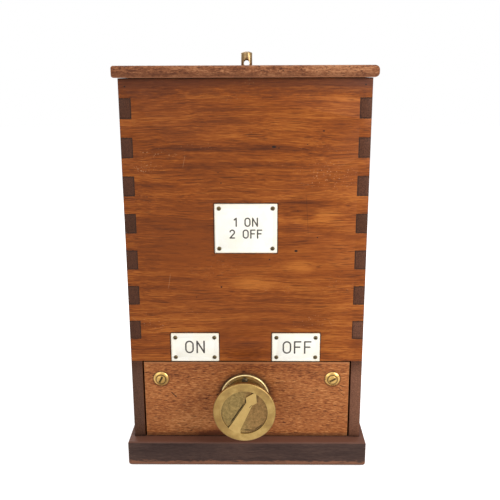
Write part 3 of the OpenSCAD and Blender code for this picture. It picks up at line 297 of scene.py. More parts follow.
def makeWear():  # where arrises stand out, for rubbing, and on the metals for painted highlights too
    group, given, out = newGroup("edge wear", {
        "Reach": 0.0012, "Breakup": 0.5, "Breakup Size": 0.01}, ["Wear"])
    inside = put(group, "ShaderNodeAmbientOcclusion", {"Distance": given["Reach"]},
                 inside=True, only_local=True, samples=6)
    corner = span(group, minus(group, 1.0, inside.outputs["AO"]), 0.12, 0.5)
    place = ownPlace(group)
    patchy = noise(group, place, calc(group, "DIVIDE", 1.0, given["Breakup Size"]), 4.0, 0.65)
    kept = mixValue(group, given["Breakup"], 1.0, span(group, patchy, 0.35, 0.65))
    feed(group, out["Wear"], times(group, corner, kept))
    return group


def makeGrime():  # painted shade and dirt, darker where other surfaces close in
    group, given, out = newGroup("crevice grime", {
        "Reach": 0.006, "Start": 0.22, "Full": 0.75, "Breakup Size": 0.008}, ["Grime"])
    shade = put(group, "ShaderNodeAmbientOcclusion", {"Distance": given["Reach"]}, samples=6)
    place = ownPlace(group)
    patchy = noise(group, place, calc(group, "DIVIDE", 1.0, given["Breakup Size"]), 4.0, 0.6)
    closed = minus(group, 1.0, shade.outputs["AO"])
    closed = plus(group, closed, span(group, patchy, 0.3, 0.7, -0.12, 0.12))
    reached = put(group, "ShaderNodeMapRange", {
        "Value": closed, "From Min": given["Start"], "From Max": given["Full"]})
    feed(group, out["Grime"], reached.outputs["Result"])
    return group


def makeBlob():  # soft ellipsoid, for light or dark patches, knots and pin holes
    group, given, out = newGroup("blob", {
        "Vector": None, "Centre": None, "Size": None, "Softness": 1.0, "Raggedness": 0.25}, ["Mask"])
    away = vectorCalc(group, "SUBTRACT", given["Vector"], given["Centre"])
    away = vectorCalc(group, "LENGTH", vectorCalc(group, "DIVIDE", away, given["Size"]))
    ragged = noise(group, given["Vector"], 1.0, 3.0, 0.6, stretch=borders["blob"])
    ragged = times(group, minus(group, ragged, 0.5), given["Raggedness"])
    away = plus(group, away, ragged)
    core = minus(group, 1.0, given["Softness"])
    feed(group, out["Mask"], span(group, away, core, 1.0, 1.0, 0.0))
    return group


def makeBand():  # level strip at one height, with a ragged border
    group, given, out = newGroup("level band", {
        "Vector": None, "Middle": 0.0, "Half": 0.001, "Raggedness": 0.5}, ["Mask"])
    height = put(group, "ShaderNodeSeparateXYZ", {0: given["Vector"]}).outputs["Z"]
    away = calc(group, "ABSOLUTE", minus(group, height, given["Middle"]))
    away = calc(group, "DIVIDE", away, given["Half"])
    ragged = noise(group, given["Vector"], 1.0, 5.0, 0.7, stretch=borders["band"])
    ragged = times(group, minus(group, ragged, 0.5), given["Raggedness"])
    feed(group, out["Mask"], span(group, plus(group, away, ragged), 0.65, 1.0, 1.0, 0.0))
    return group


def makeScratch():  # thin line from one point to another, as seen from the front
    group, given, out = newGroup("scratch", {
        "Vector": None, "Start": None, "End": None, "Width": 0.0003}, ["Mask"])
    along = vectorCalc(group, "SUBTRACT", given["End"], given["Start"])
    away = vectorCalc(group, "SUBTRACT", given["Vector"], given["Start"])
    away = vectorCalc(group, "MULTIPLY", away, (1, 0, 1))
    part = calc(group, "DIVIDE", vectorCalc(group, "DOT_PRODUCT", away, along),
                vectorCalc(group, "DOT_PRODUCT", along, along), clamp=True)
    off = vectorCalc(group, "SUBTRACT", away, scaled(group, along, part))
    off = calc(group, "DIVIDE", vectorCalc(group, "LENGTH", off), given["Width"])
    ends = calc(group, "ABSOLUTE", minus(group, part, 0.5))
    faded = span(group, ends, 0.3, 0.5, 1.0, 0.0)
    feed(group, out["Mask"], times(group, span(group, off, 0.4, 1.0, 1.0, 0.0), faded))
    return group


def makeRing():  # soft ring round an axis that points out of the front
    group, given, out = newGroup("ring", {
        "Vector": None, "Centre": None, "Inner": 0.0, "Outer": 0.001, "Feather": 0.0003}, ["Mask"])
    away = vectorCalc(group, "SUBTRACT", given["Vector"], given["Centre"])
    away = vectorCalc(group, "LENGTH", vectorCalc(group, "MULTIPLY", away, (1, 0, 1)))

    def side(edge, near, far):
        start = minus(group, given[edge], given["Feather"])
        end = plus(group, given[edge], given["Feather"])
        return span(group, away, start, end, near, far)

    feed(group, out["Mask"], times(group, side("Inner", 0.0, 1.0), side("Outer", 1.0, 0.0)))
    return group


def makeOutline():  # thin line round something square on the front
    group, given, out = newGroup("outline", {
        "Vector": None, "Centre": None, "Half": None, "Reach": 0.001}, ["Mask"])
    away = vectorCalc(group, "ABSOLUTE", vectorCalc(group, "SUBTRACT", given["Vector"], given["Centre"]))
    away = vectorCalc(group, "SUBTRACT", away, given["Half"])
    away = put(group, "ShaderNodeSeparateXYZ", {0: away}).outputs
    ragged = noise(group, given["Vector"], borders["outline"], 3.0, 0.6)
    off = calc(group, "DIVIDE", calc(group, "MAXIMUM", away["X"], away["Z"]), given["Reach"])
    off = plus(group, off, span(group, ragged, 0.3, 0.7, -0.3, 0.3))
    feed(group, out["Mask"], span(group, off, 0.3, 1.0, 1.0, 0.0))
    return group


def makeJoints():  # dark lines where the fingers of two boards meet
    group, given, out = newGroup("finger joints", {"Vector": None, "Width": 0.65}, ["Mask"])
    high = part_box("front_board")[1]
    top, half, board = (high.z - baseTop) / mm, high.x / mm, (high.y - caseFront) / mm
    middle = (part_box("back_board")[1].y - caseFront) / mm / 2
    finger = top / joints["rows"]
    place = scaled(group, vectorCalc(group, "SUBTRACT", given["Vector"], onCase(0, 0, 0)), 1 / mm)
    x, y, z = put(group, "ShaderNodeSeparateXYZ", {0: place}).outputs
    fromTop = calc(group, "DIVIDE", minus(group, top, z), finger)
    ragged = noise(group, place, borders["finger"] * mm, 3.0, 0.7)  # place is in millimetres here
    width = times(group, given["Width"], span(group, ragged, 0.3, 0.7, 0.4, 1.5))

    def line(distance):
        share = calc(group, "DIVIDE", calc(group, "ABSOLUTE", distance), width)
        return span(group, share, 0.6, 1.0, 1.0, 0.0)

    part = minus(group, calc(group, "FRACT", plus(group, fromTop, 0.5)), 0.5)
    level = line(times(group, part, finger))
    sideFinger = calc(group, "GREATER_THAN", calc(group, "FRACT", times(group, fromTop, 0.5)), 0.5)
    inX = minus(group, calc(group, "ABSOLUTE", x), half - board)
    inY = minus(group, calc(group, "ABSOLUTE", minus(group, y, middle)), middle - board)
    upright = mixValue(group, sideFinger, line(inY), line(inX))
    corner = calc(group, "GREATER_THAN", calc(group, "MINIMUM", inX, inY), -0.4)
    both = times(group, calc(group, "MAXIMUM", level, upright), corner)
    atBack = calc(group, "GREATER_THAN", y, middle)
    last = mixValue(group, atBack, joints["front"], joints["back"])
    feed(group, out["Mask"], times(group, both, calc(group, "LESS_THAN", fromTop, last)))
    return group


def makeTarnish():  # cloudy patches and small pits on old brass
    group, given, out = newGroup("tarnish", {
        "Cloud Size": 0.012, "Pit Size": 0.0006}, ["Clouds", "Pits", "Rubbing"])
    place = ownPlace(group)
    clouds = noise(group, place, calc(group, "DIVIDE", 1.0, given["Cloud Size"]), 5.0, 0.6)
    feed(group, out["Clouds"], clouds)
    pits = noise(group, place, calc(group, "DIVIDE", 1.0, given["Pit Size"]), 2.0, 0.6)
    feed(group, out["Pits"], span(group, pits, 0.6, 0.74))
    feed(group, out["Rubbing"], noise(group, place, 2600.0, 3.0, 0.7))
    return group


grainGroup = makeGrain()
wearGroup = makeWear()
grimeAndShadeGroup = makeGrime()
blobGroup = makeBlob()
bandGroup = makeBand()
scratchGroup = makeScratch()
ringGroup = makeRing()
outlineGroup = makeOutline()
jointGroup = makeJoints()
tarnishGroup = makeTarnish()
print("shared effects ready")

# Parts that share a finish and the softness of their edges
plates = ["title_plate", "left_position_plate", "right_position_plate"]
dealParts = ["panel_screw_blocks", "rail_cleats", "lid_rail", "lid_battens"]
eboniteParts = ["contact_drum", "left_spring_block", "right_spring_block", "left_terminal_strip",
                "right_terminal_strip"]

# Woods; lengths in millimetres, places on the case as x and z
frontWood = {
    "along": "X",
    "seed": 2.4,
    "dark": (0.1, 0.024, 0.006),
    "middle": (0.246, 0.058, 0.0082),
    "light": (0.44, 0.134, 0.022),
    "end": (0.072, 0.026, 0.013),
    "pore": (0.07, 0.018, 0.005),
    "fleck": (0.55, 0.28, 0.13),
    "edge": (0.08, 0.026, 0.012),
    "worn": 0.6,  # how much of that shows on the arrises
    "cloud": (7, 110, 0.34),  # thickness, length and share of the tone
    "streak": (0.8, 120, 0.34),
    "fibre": (0.42, 9, 0.4),
    "pores": (0.6, 30, 0.78),
    "waviness": 3.6,
    "calm": [  # x, z, half width, half height, share
        (-30, 175, 80, 50, 0.75), (62, 168, 56, 30, 0.55), (10, 105, 70, 26, 0.4)],
    "contrast": 1.472,  # of light and dark grain
    "flecks": 0.15,  # share of the light specks anywhere
    "dusty": [  # where there are more: x, z, half width, half height, share
        (-82, 246, 18, 7, 1.0), (-74, 258, 28, 5, 0.8), (68, 240, 34, 16, 1.0), (5, 316, 24, 5, 0.8),
        (-40, 264, 22, 4, 0.6), (60, 112, 28, 8, 0.6), (-80, 112, 18, 14, 0.6)],
    "rough": 0.46,
    "gloss": 0.15,
    "jointed": 0.8,  # how dark the lines round the fingers are
    "patches": [  # x, z, half width, half height, lift of the tone
        (6, 147, 28, 10, 0.2), (46, 161, 19, 10, 0.16), (67, 206, 16, 8, 0.16), (78, 300, 24, 9, 0.12),
        (-30, 303, 60, 5, 0.1), (44, 303, 30, 6, 0.07), (-50, 195, 60, 55, -0.08), (-60, 278, 50, 8, -0.09),
        (-20, 284, 46, 4, -0.12), (-52, 262, 42, 5, -0.15), (-10, 261, 42, 4, -0.14), (22, 263, 26, 4, -0.14),
        (60, 261, 36, 4, -0.13), (-35, 246, 50, 4, -0.14), (40, 256, 34, 5, 0.07), (-68, 234, 36, 7, -0.07),
        (-20, 193, 26, 20, -0.06), (36, 196, 10, 24, -0.04), (-62, 150, 42, 3, -0.1), (-44, 133, 36, 3, -0.1),
        (70, 190, 20, 3, -0.14), (50, 217, 32, 2.4, -0.16), (0, 85, 30, 14, -0.1), (30, 137, 36, 2.6, -0.12),
        (76, 200, 34, 80, 0.06), (80, 100, 30, 36, 0.1), (-60, 105, 44, 16, 0.07), (60, 148, 40, 6, 0.04),
        (60, 290, 40, 6, 0.08), (-8, 231, 60, 6, 0.1), (70, 174, 30, 6, -0.07), (-84, 168, 16, 9, -0.09),
        (-10, 172, 34, 5, -0.06),
    ],
    "bands": [  # z, half height, raggedness, colour, share; these two are painted shadow of the lid's overhang over a darker stain, and the back and the sides take them too
        (317, 7, 1.6, (0.07, 0.019, 0.009), 0.45), (316, 13, 2.6, (0.075, 0.02, 0.009), 0.4)],
    "endBands": [],  # the same, for end grain alone
    "spots": [  # x, z, half width, half height
        (42.6, 174.9, 1.8, 1.4), (20.1, 167.4, 1.0, 0.7), (-21.3, 142.8, 1.0, 1.0), (-20.5, 233.3, 0.9, 0.7),
        (-97.1, 311.6, 0.8, 0.7), (96.8, 312.6, 0.8, 0.7), (23.4, 263.0, 2.3, 1.2), (27.5, 262.2, 0.9, 0.5),
        (64.0, 275.9, 1.2, 0.7), (50.8, 265.0, 0.8, 0.5), (60.6, 186.7, 0.9, 0.6), (43.8, 209.6, 0.6, 0.4),
        (82.2, 157.2, 0.6, 0.4), (75.7, 143.7, 0.7, 0.4), (87.0, 140.1, 0.7, 0.4), (-43.1, 133.7, 0.7, 0.5),
        (-50.1, 181.1, 0.7, 0.4), (-82.6, 221.6, 0.7, 0.4), (-88.6, 222.6, 0.5, 0.4), (-22.9, 242, 0.6, 0.4),
    ],
    "scratches": [  # from x, z to x, z, half width, kind
        (-64.9, 155.5, -67.4, 140.5, 0.35, "light"), (-49.7, 257.0, -52.1, 245.5, 0.35, "light"),
        (50.4, 226.0, 53.0, 186.0, 0.45, "faint"), (-101.0, 116.0, -92.0, 108.0, 0.3, "light"),
    ],
    "rings": [],  # x, z, inner and outer radius, feather, share
    "plates": plates,  # painted shadow and dirt in a thin line round these
}
bare = {"patches": [], "spots": [], "scratches": [], "rings": [], "endBands": [], "calm": [], "plates": [],
        "dusty": [], "flecks": 0.6, "jointed": 0}
backWood = {
    **frontWood,
    **bare,
    "seed": 7.9,
    "jointed": 0.8,
    "patches": [(30, 120, 40, 20, 0.08), (-40, 230, 60, 12, -0.1)],
    "spots": [(-97.1, 311.6, 0.8, 0.7), (96.8, 312.6, 0.8, 0.7)],
}
sideWood = {
    **frontWood,
    **bare,
    "along": "Y",
    "seed": 4.2,
    "dark": (0.095, 0.024, 0.007),
    "middle": (0.21, 0.055, 0.012),
    "light": (0.34, 0.105, 0.023),
    "endBands": [(199, 9, 0.3, (0.04, 0.016, 0.007), 0.45), (31, 43, 0.15, (0.098, 0.046, 0.028), 0.7)],
    "jointed": 0.8,
}
rightWood = {  # the right side's front edge is lighter, most of all at its foot
    **sideWood,
    "seed": 6.6,
    "end": (0.088, 0.032, 0.016),
    "endBands": [(199, 9, 0.3, (0.048, 0.018, 0.006), 0.45), (104, 9, 0.3, (0.15, 0.062, 0.036), 0.5),
                 (31, 43, 0.15, (0.185, 0.078, 0.044), 0.85)],
}
panelWood = {
    **frontWood,
    **bare,
    "seed": 11.3,
    "dark": (0.15, 0.04, 0.014),
    "middle": (0.36, 0.115, 0.032),
    "light": (0.61, 0.262, 0.09),
    "pore": (0.07, 0.02, 0.009),
    "edge": (0.55, 0.28, 0.12),
    "worn": 0.5,
    "cloud": (14, 40, 0.1),
    "streak": (0.8, 7, 0.37),
    "fibre": (0.55, 3.4, 0.58),
    "pores": (0.6, 5.0, 1.0),
    "waviness": 1.8,
    "flecks": 0.1,
    # patches: (-31, 1) is the knob's painted shadow, (-48, 12) is painted light on the left of the panel and
    # (0, 70) is painted shade under the front board's lower edge; the others shift the tone
    "patches": [(-60, 60, 34, 12, -0.05), (0, 44, 34, 34, -0.04), (-48, 12, 40, 18, 0.11),
                (0, 70, 120, 10, -0.1), (60, 64, 50, 14, -0.03), (-31, 1, 22, 8, -0.4)],
    "bands": [(72.2, 1.3, 1.2, (0.4, 0.16, 0.065), 0.6), (1.0, 3.0, 0.8, (0.1, 0.035, 0.016), 0.55)],
    "spots": [(-50.7, 5.7, 0.8, 0.8)],
    "scratches": [(-68.4, 44.0, -62.8, 38.2, 0.6, "dark"), (82.5, 47.6, 86.4, 45.0, 0.35, "dark"),
                  (88.0, 40.0, 84.0, 43.5, 0.3, "dark"), (-91.0, 70.0, -88.0, 68.5, 0.9, "light")],
    "rings": [(-1.5, 39.3, 0, 24.5, 3.5, 0.75), (-76.7, 56.4, 0, 7.5, 1.0, 0.7),
              (76.7, 56.4, 0, 7.5, 1.0, 0.7)],
}
lidWood = {
    **frontWood,
    **bare,
    "seed": 5.7,
    "dark": (0.095, 0.029, 0.013),
    "middle": (0.236, 0.083, 0.033),
    "light": (0.43, 0.19, 0.086),
    "end": (0.2, 0.07, 0.031),
    "edge": (0.3, 0.115, 0.05),
    "worn": 0.4,
    "pore": (0.06, 0.02, 0.011),
    "cloud": (9, 50, 0.25),
    "streak": (1.6, 7, 0.46),
    "fibre": (0.9, 2.4, 0.5),
    "pores": (0.8, 2.0, 0.85),
    "flecks": 1.0,
    "fleck": (0.62, 0.42, 0.26),
    "rough": 0.5,
    "patches": [(-95, 322, 25, 8, -0.08), (-20, 325, 40, 5, -0.03), (72, 326, 50, 6, 0.13)],
    # the dark band is painted shade on the lower part of the lid's front; the light line on its lower arris
    # is wear and a painted highlight
    "bands": [(320.2, 2.2, 1.4, (0.115, 0.04, 0.018), 0.4), (318.6, 0.6, 0.8, (0.42, 0.18, 0.09), 0.6)],
}
baseWood = {
    **frontWood,
    **bare,
    "seed": 9.1,
    "dark": (0.032, 0.017, 0.014),
    "middle": (0.057, 0.032, 0.026),
    "light": (0.095, 0.053, 0.04),
    "end": (0.05, 0.029, 0.023),
    "pore": (0.03, 0.018, 0.014),
    "fleck": (0.2, 0.12, 0.09),
    "edge": (0.21, 0.085, 0.05),
    "worn": 0.5,
    "cloud": (12, 60, 0.4),
    "streak": (2.5, 30, 0.25),
    "fibre": (0.9, 6, 0.3),
    "pores": (0.5, 4, 0.25),
    "flecks": 0.3,
    "rough": 0.55,
    # the light band along the foot is wear and painted light from the floor on the rounded lower edge
    "bands": [(-24.5, 6.4, 1.6, (0.3, 0.125, 0.066), 0.75), (-0.5, 0.9, 1.2, (0.16, 0.07, 0.045), 0.6)],
    "top": (0.15, 0.056, 0.033),  # upward faces are given this redder, lighter colour of their own
}
dealWood = {
    **frontWood,
    **bare,
    "seed": 1.3,
    "dark": (0.36, 0.2, 0.085),
    "middle": (0.55, 0.36, 0.18),
    "light": (0.68, 0.49, 0.28),
    "end": (0.36, 0.21, 0.1),
    "pore": (0.34, 0.19, 0.08),
    "edge": (0.6, 0.42, 0.24),
    "worn": 0.5,
    "pores": (0.5, 4, 0.1),
    "bands": [],
    "flecks": 0.0,
    "rough": 0.62,
}
# one dark tone for dirt, spots and scratches, and for painted shade in corners and painted shadow round the
# plates
dirt = (0.018, 0.011, 0.008)
scratchShare = {"light": 0.28, "faint": 0.3, "dark": 0.95}
woodAge = {  # how all the woods are worn and dirty, with painted shade in their corners and gaps
    "arrises": {"Reach": 1.2 * mm, "Breakup": 0.8, "BreakupSize": 12 * mm},
    "corners": {"Reach": 6 * mm, "BreakupSize": 10 * mm},
    "cornerShare": 0.5,
    "gaps": {"Reach": 1.7 * mm, "Start": 0.2, "Full": 0.5, "BreakupSize": 4 * mm},
    "gapShare": 0.85,
    # the thin dark line round the plates is painted shadow and dirt
    "plateLine": 1.1,
    "plateShare": 0.75,
    "relief": 0.05,
}
turnFor = {"X": 0, "Y": -pi / 2}  # about the vertical, so that the grain runs along X
axisOf = {"X": (1, 0, 0), "Y": (0, 1, 0)}


def startMaterial(name):
    material = bpy.data.materials.new(name)
    tree = emptyTree(material)
    shader = put(tree, "ShaderNodeBsdfPrincipled")
    put(tree, "ShaderNodeOutputMaterial", {"Surface": shader.outputs[0]})
    return material, tree, shader, ownPlace(tree)


def ringMask(tree, place, centre, inner, outer, feather=0.3):  # in millimetres; with -1 inside it is a disc
    return use(tree, ringGroup, Vector=place, Centre=centre, Inner=inner * mm, Outer=outer * mm,
               Feather=feather * mm)["Mask"]


def dress(tree, shader, colour, rough, height, relief, strength):  # the relief is in millimetres
    bump = put(tree, "ShaderNodeBump", {"Height": height, "Distance": relief * mm, "Strength": strength})
    for socket, value in (("Base Color", colour), ("Roughness", rough), ("Normal", bump.outputs[0])):
        feed(tree, shader.inputs[socket], value)


def banded(tree, place, ground, bands):
    for z, half, ragged, tint, share in bands:
        band = use(tree, bandGroup, Vector=place, Middle=onCase(0, 0, z).z, Half=half * mm,
                   Raggedness=ragged)
        ground = stain(tree, ground, band["Mask"], share, tint)
    return ground


def blobMask(tree, place, x, z, wide, high, deep=20, softness=1.0, ragged=0.25):
    size = Vector((wide, deep, high)) * mm
    return use(tree, blobGroup, Vector=place, Centre=onCase(x, 0, z), Size=size, Softness=softness,
               Raggedness=ragged)["Mask"]


def grainColour(tree, place, grain, look):
    tone = 0.0
    for layer, key in (("Clouds", "cloud"), ("Streaks", "streak"), ("Fibre", "fibre")):
        tone = plus(tree, tone, times(tree, minus(tree, grain[layer], 0.5), look[key][2]))
    for *area, share in look["calm"]:
        kept = minus(tree, 1.0, times(tree, blobMask(tree, place, *area), share))
        tone = times(tree, tone, kept)
    tone = plus(tree, times(tree, tone, look["contrast"]), 0.5)
    for *area, lift in look["patches"]:
        patch = blobMask(tree, place, *area, softness=0.95, ragged=0.5)
        tone = plus(tree, tone, times(tree, patch, lift))
    colour = ramp(tree, tone, (0.28, look["dark"]), (0.5, look["middle"]), (0.72, look["light"]))
    colour = stain(tree, colour, grain["Pores"], look["pores"][2], look["pore"])
    dust = times(tree, grain["Clusters"], look["flecks"])
    for *area, share in look["dusty"]:
        patch = blobMask(tree, place, *area, softness=0.8, ragged=1.0)
        dust = calc(tree, "MAXIMUM", dust, times(tree, patch, share))
    return stain(tree, colour, grain["Specks"], dust, look["fleck"])


def cutEnds(tree, place, grain, look, colour):  # end grain, and a top face with a colour of its own
    normal = put(tree, "ShaderNodeTexCoord").outputs["Normal"]
    facing = vectorCalc(tree, "DOT_PRODUCT", normal, axisOf[look["along"]])
    endMask = span(tree, calc(tree, "ABSOLUTE", facing), 0.55, 0.85)
    speckle = mixValue(tree, 0.6, grain["Fibre"], grain["Streaks"])
    speckle = ramp(tree, speckle, (0.38, 0.55), (0.62, 1.42))
    endGrain = banded(tree, place, look["end"], look["endBands"])
    colour = mixColour(tree, endMask, colour, mixColour(tree, 1.0, endGrain, speckle, "MULTIPLY"))
    if "top" in look:
        upward = vectorCalc(tree, "DOT_PRODUCT", normal, (0, 0, 1))
        colour = mixColour(tree, span(tree, upward, 0.75, 0.95, 0.0, 0.8), colour, look["top"])
    return colour


def woodWear(tree, place, look, colour):  # arrises in their edge colour, painted shade and dirt in the corners and gaps, and dark finger joints
    wear = use(tree, wearGroup, **woodAge["arrises"])["Wear"]
    colour = stain(tree, colour, wear, look["worn"], look["edge"])
    colour = banded(tree, place, colour, look["bands"])
    dirty = 0.0
    # corners and gaps darken as they close in: painted shade and dirt
    for where in ("corner", "gap"):
        grime = use(tree, grimeAndShadeGroup, **woodAge[where + "s"])["Grime"]
        dirty = calc(tree, "MAXIMUM", dirty, times(tree, grime, woodAge[where + "Share"]))
    if look["jointed"]:
        fingers = use(tree, jointGroup, Vector=place)["Mask"]
        dirty = calc(tree, "MAXIMUM", dirty, times(tree, fingers, look["jointed"]))
    return mixColour(tree, dirty, colour, dirt)


def woodMarks(tree, place, look, colour):  # darker halos round the brass, painted shadow and dirt in lines round the plates, dirt spots and scratches
    for x, z, inner, outer, feather, share in look["rings"]:
        ring = ringMask(tree, place, onCase(x, 0, z), inner, outer, feather)
        colour = stain(tree, colour, ring, share, dirt)
    for plate in look["plates"]:
        low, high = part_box(plate)
        line = use(tree, outlineGroup, Vector=place, Centre=(low + high) / 2, Half=(high - low) / 2,
                   Reach=woodAge["plateLine"] * mm)
        colour = stain(tree, colour, line["Mask"], woodAge["plateShare"], dirt)
    for area in look["spots"]:
        spot = blobMask(tree, place, *area, deep=2, softness=0.5, ragged=0.8)
        colour = mixColour(tree, spot, colour, dirt)
    for startX, startZ, endX, endZ, width, kind in look["scratches"]:
        line = use(tree, scratchGroup, Vector=place, Start=onCase(startX, 0, startZ),
                   End=onCase(endX, 0, endZ), Width=width * mm)
        tint = look["fleck"] if kind == "light" else dirt
        colour = stain(tree, colour, line["Mask"], scratchShare[kind], tint)
    return colour


def woodFinish(name, look):
    material, tree, shader, place = startMaterial(name)
    turn = (0, 0, turnFor[look["along"]])
    turned = put(tree, "ShaderNodeMapping", {"Vector": place, "Rotation": turn}).outputs[0]
    sizes = {}
    for layer, key in (("Cloud", "cloud"), ("Streak", "streak"), ("Fibre", "fibre"), ("Pore", "pores")):
        sizes[layer + "Thickness"] = look[key][0] * mm
        sizes[layer + "Length"] = look[key][1] * mm
    grain = use(tree, grainGroup, Vector=turned, Seed=look["seed"], Waviness=look["waviness"] * mm, **sizes)
    colour = grainColour(tree, place, grain, look)
    colour = cutEnds(tree, place, grain, look, colour)
    colour = woodWear(tree, place, look, colour)
    colour = woodMarks(tree, place, look, colour)
    rough = span(tree, grain["Fibre"], 0.3, 0.7, look["rough"] + 0.08, look["rough"] - 0.08)
    shader.inputs["Specular IOR Level"].default_value = look["gloss"]
    height = minus(tree, times(tree, grain["Fibre"], 0.5), grain["Pores"])
    dress(tree, shader, colour, rough, height, woodAge["relief"], 0.6)
    return material


# Brass, bronze and copper
knobBrass = {
    "bright": (0.61, 0.425, 0.155),
    "middle": (0.4, 0.256, 0.085),
    "dull": (0.25, 0.15, 0.058),
    # for dirt and pits, and for painted shade in hollows and painted shadow under the pointer's shoulder
    "dirt": (0.03, 0.022, 0.014),
    "rough": 0.36,
    "grime": 0.9,
    "pits": 0.25,
    "reach": 1.0,  # how far the dirt and painted shade creep out of a corner
    "start": 0.16,  # how closed a corner is where the dirt and painted shade start
}
knobFloor = {
    "left": (0.3, 0.207, 0.077),
    "right": (0.29, 0.172, 0.066),
    # the pointer's brighter colour: polish and painted sheen
    "pointer": (0.6, 0.41, 0.15),
    "darker": (0.26, 0.143, 0.045),
    "depth": 1.8,
    "radius": 20.0,
    "shaded": (-27, -12),  # painted shade: the left of the knob is darker, from x to x about the spindle
    "shade": 0.45,
    "turning": (-6, 8),  # where the left of the floor becomes the right
    "rough": 0.6,
    "mottle": 380.0,  # patches to the metre
    "casting": 900.0,
    "pits": 0.75,
    "floorLines": [  # dirt on the floor: from x, z to x, z about the spindle, half width, share
        (-13.2, -12.0, 0.6, 9.2, 0.7, 0.95), (0.5, 8.2, 1.2, 11.8, 0.7, 0.9),
        (0.4, 10.6, 7.6, 15.8, 0.6, 0.9), (-1.0, -17.0, 9.0, -17.4, 0.8, 0.7),
        (8.0, -17.6, 15.6, -11.6, 0.7, 0.7)],
    # painted shadow under the pointer's right shoulder, in the same columns
    "faceLines": [(4.0, 4.4, 6.4, 7.2, 0.4, 0.8), (5.6, 7.0, 9.0, 7.3, 0.35, 0.7)],
}


def alloy(base, bright, middle, dull, **others):
    return {**base, "bright": bright, "middle": middle, "dull": dull, **others}


cupBrass = alloy(knobBrass, (0.77, 0.49, 0.165), (0.56, 0.335, 0.1), (0.33, 0.195, 0.064), rough=0.3,
                 pits=0.12, reach=0.8, start=0.25)
cupScrews = {
    "slots": [(-76.7, 56.4, 62), (76.7, 56.4, 28)],  # x, z and the angle at which the screw was left
    "head": 3.6,
    "gap": (3.5, 4.9),  # painted shade and dirt round the head, from one radius to the other
    "slotReach": 5.92,
    "slotHalf": 1.5,
    "dirty": 0.92,
}
flangeBrass = alloy(knobBrass, (0.92, 0.76, 0.42), (0.78, 0.6, 0.29), (0.5, 0.36, 0.16), rough=0.36,
                    pits=0.15, reach=0.5, start=0.3)
turnedBrass = alloy(knobBrass, (0.6, 0.46, 0.24), (0.45, 0.335, 0.165), (0.25, 0.18, 0.085), rough=0.3,
                    pits=0.15, reach=1.6)
studBrass = alloy(turnedBrass, (0.48, 0.33, 0.17), (0.27, 0.175, 0.08), (0.17, 0.11, 0.05), rough=0.34)
dullBrass = alloy(knobBrass, (0.42, 0.32, 0.16), (0.17, 0.12, 0.065), (0.06, 0.042, 0.025), rough=0.45,
                  reach=1.2)
darkScrew = alloy(dullBrass, (0.24, 0.175, 0.085), (0.05, 0.036, 0.022), (0.022, 0.017, 0.012))
springBronze = alloy(knobBrass, (0.78, 0.52, 0.3), (0.66, 0.42, 0.22), (0.42, 0.26, 0.14), rough=0.3,
                     pits=0.1, grime=0.5)
bareCopper = alloy(knobBrass, (0.8, 0.42, 0.26), (0.62, 0.3, 0.17), (0.3, 0.15, 0.09), rough=0.34,
                   pits=0.1, grime=0.5)
# a brown, cloudy painted reflection inside the flange's bead
flangeDishReflection = {"radius": 18.2, "dark": (0.2, 0.13, 0.05), "light": (0.5, 0.33, 0.13), "share": 0.85,
                "clouds": 260.0}
spindleAt = sum(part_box("spindle"), Vector()) / 2
metalAge = {  # how all the metals are rubbed and stained, with painted highlights on their arrises and painted shade in their hollows
    "stains": {"CloudSize": 12 * mm, "PitSize": 0.7 * mm},
    "evened": 0.35,  # how far the cloudy colour is drawn back to the middle one
    "arrises": {"Reach": 0.8 * mm, "Breakup": 0.4, "BreakupSize": 6 * mm},
    "rubbed": 0.8,
    "grimePatch": 3,
    "relief": 0.03,
}


def knobFace(tree, place, colour, rough):  # rough cast floor behind the polished rim and pointer
    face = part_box("control_knob")[0].y
    x, y = put(tree, "ShaderNodeSeparateXYZ", {0: place}).outputs[:2]
    depth = minus(tree, y, face)
    sunk = span(tree, depth, 0.5 * knobFloor["depth"] * mm, 0.9 * knobFloor["depth"] * mm)
    inside = ringMask(tree, place, spindleAt, -1, knobFloor["radius"], 0.1)
    # the raised pointer is painted brighter: polish and painted sheen
    raised = times(tree, minus(tree, 1.0, sunk), inside)
    colour = stain(tree, colour, raised, 0.6, knobFloor["pointer"])
    floor = times(tree, sunk, inside)
    offAxis = minus(tree, x, spindleAt.x)
    # painted shade over the left of the knob
    shaded = span(tree, offAxis, *[edge * mm for edge in knobFloor["shaded"]], knobFloor["shade"], 0.0)
    colour = mixColour(tree, shaded, colour, knobFloor["darker"])
    sideways = span(tree, offAxis, *[edge * mm for edge in knobFloor["turning"]])
    base = mixColour(tree, sideways, knobFloor["left"], knobFloor["right"])
    mottle = ramp(tree, noise(tree, place, knobFloor["mottle"], 5.0, 0.75), (0.3, 0.55), (0.7, 1.4))
    base = mixColour(tree, 1.0, base, mottle, "MULTIPLY")
    colour = mixColour(tree, floor, colour, base)
    offSpindle = vectorCalc(tree, "SUBTRACT", place, spindleAt)
    for level, lines in ((floor, knobFloor["floorLines"]), (1.0, knobFloor["faceLines"])):
        for startX, startZ, endX, endZ, width, share in lines:
            line = use(tree, scratchGroup, Vector=offSpindle, Start=Vector((startX, 0, startZ)) * mm,
                       End=Vector((endX, 0, endZ)) * mm, Width=width * mm)["Mask"]
            line = times(tree, line, share)
            colour = stain(tree, colour, line, level, knobBrass["dirt"])
    return colour, mixValue(tree, floor, rough, knobFloor["rough"]), floor


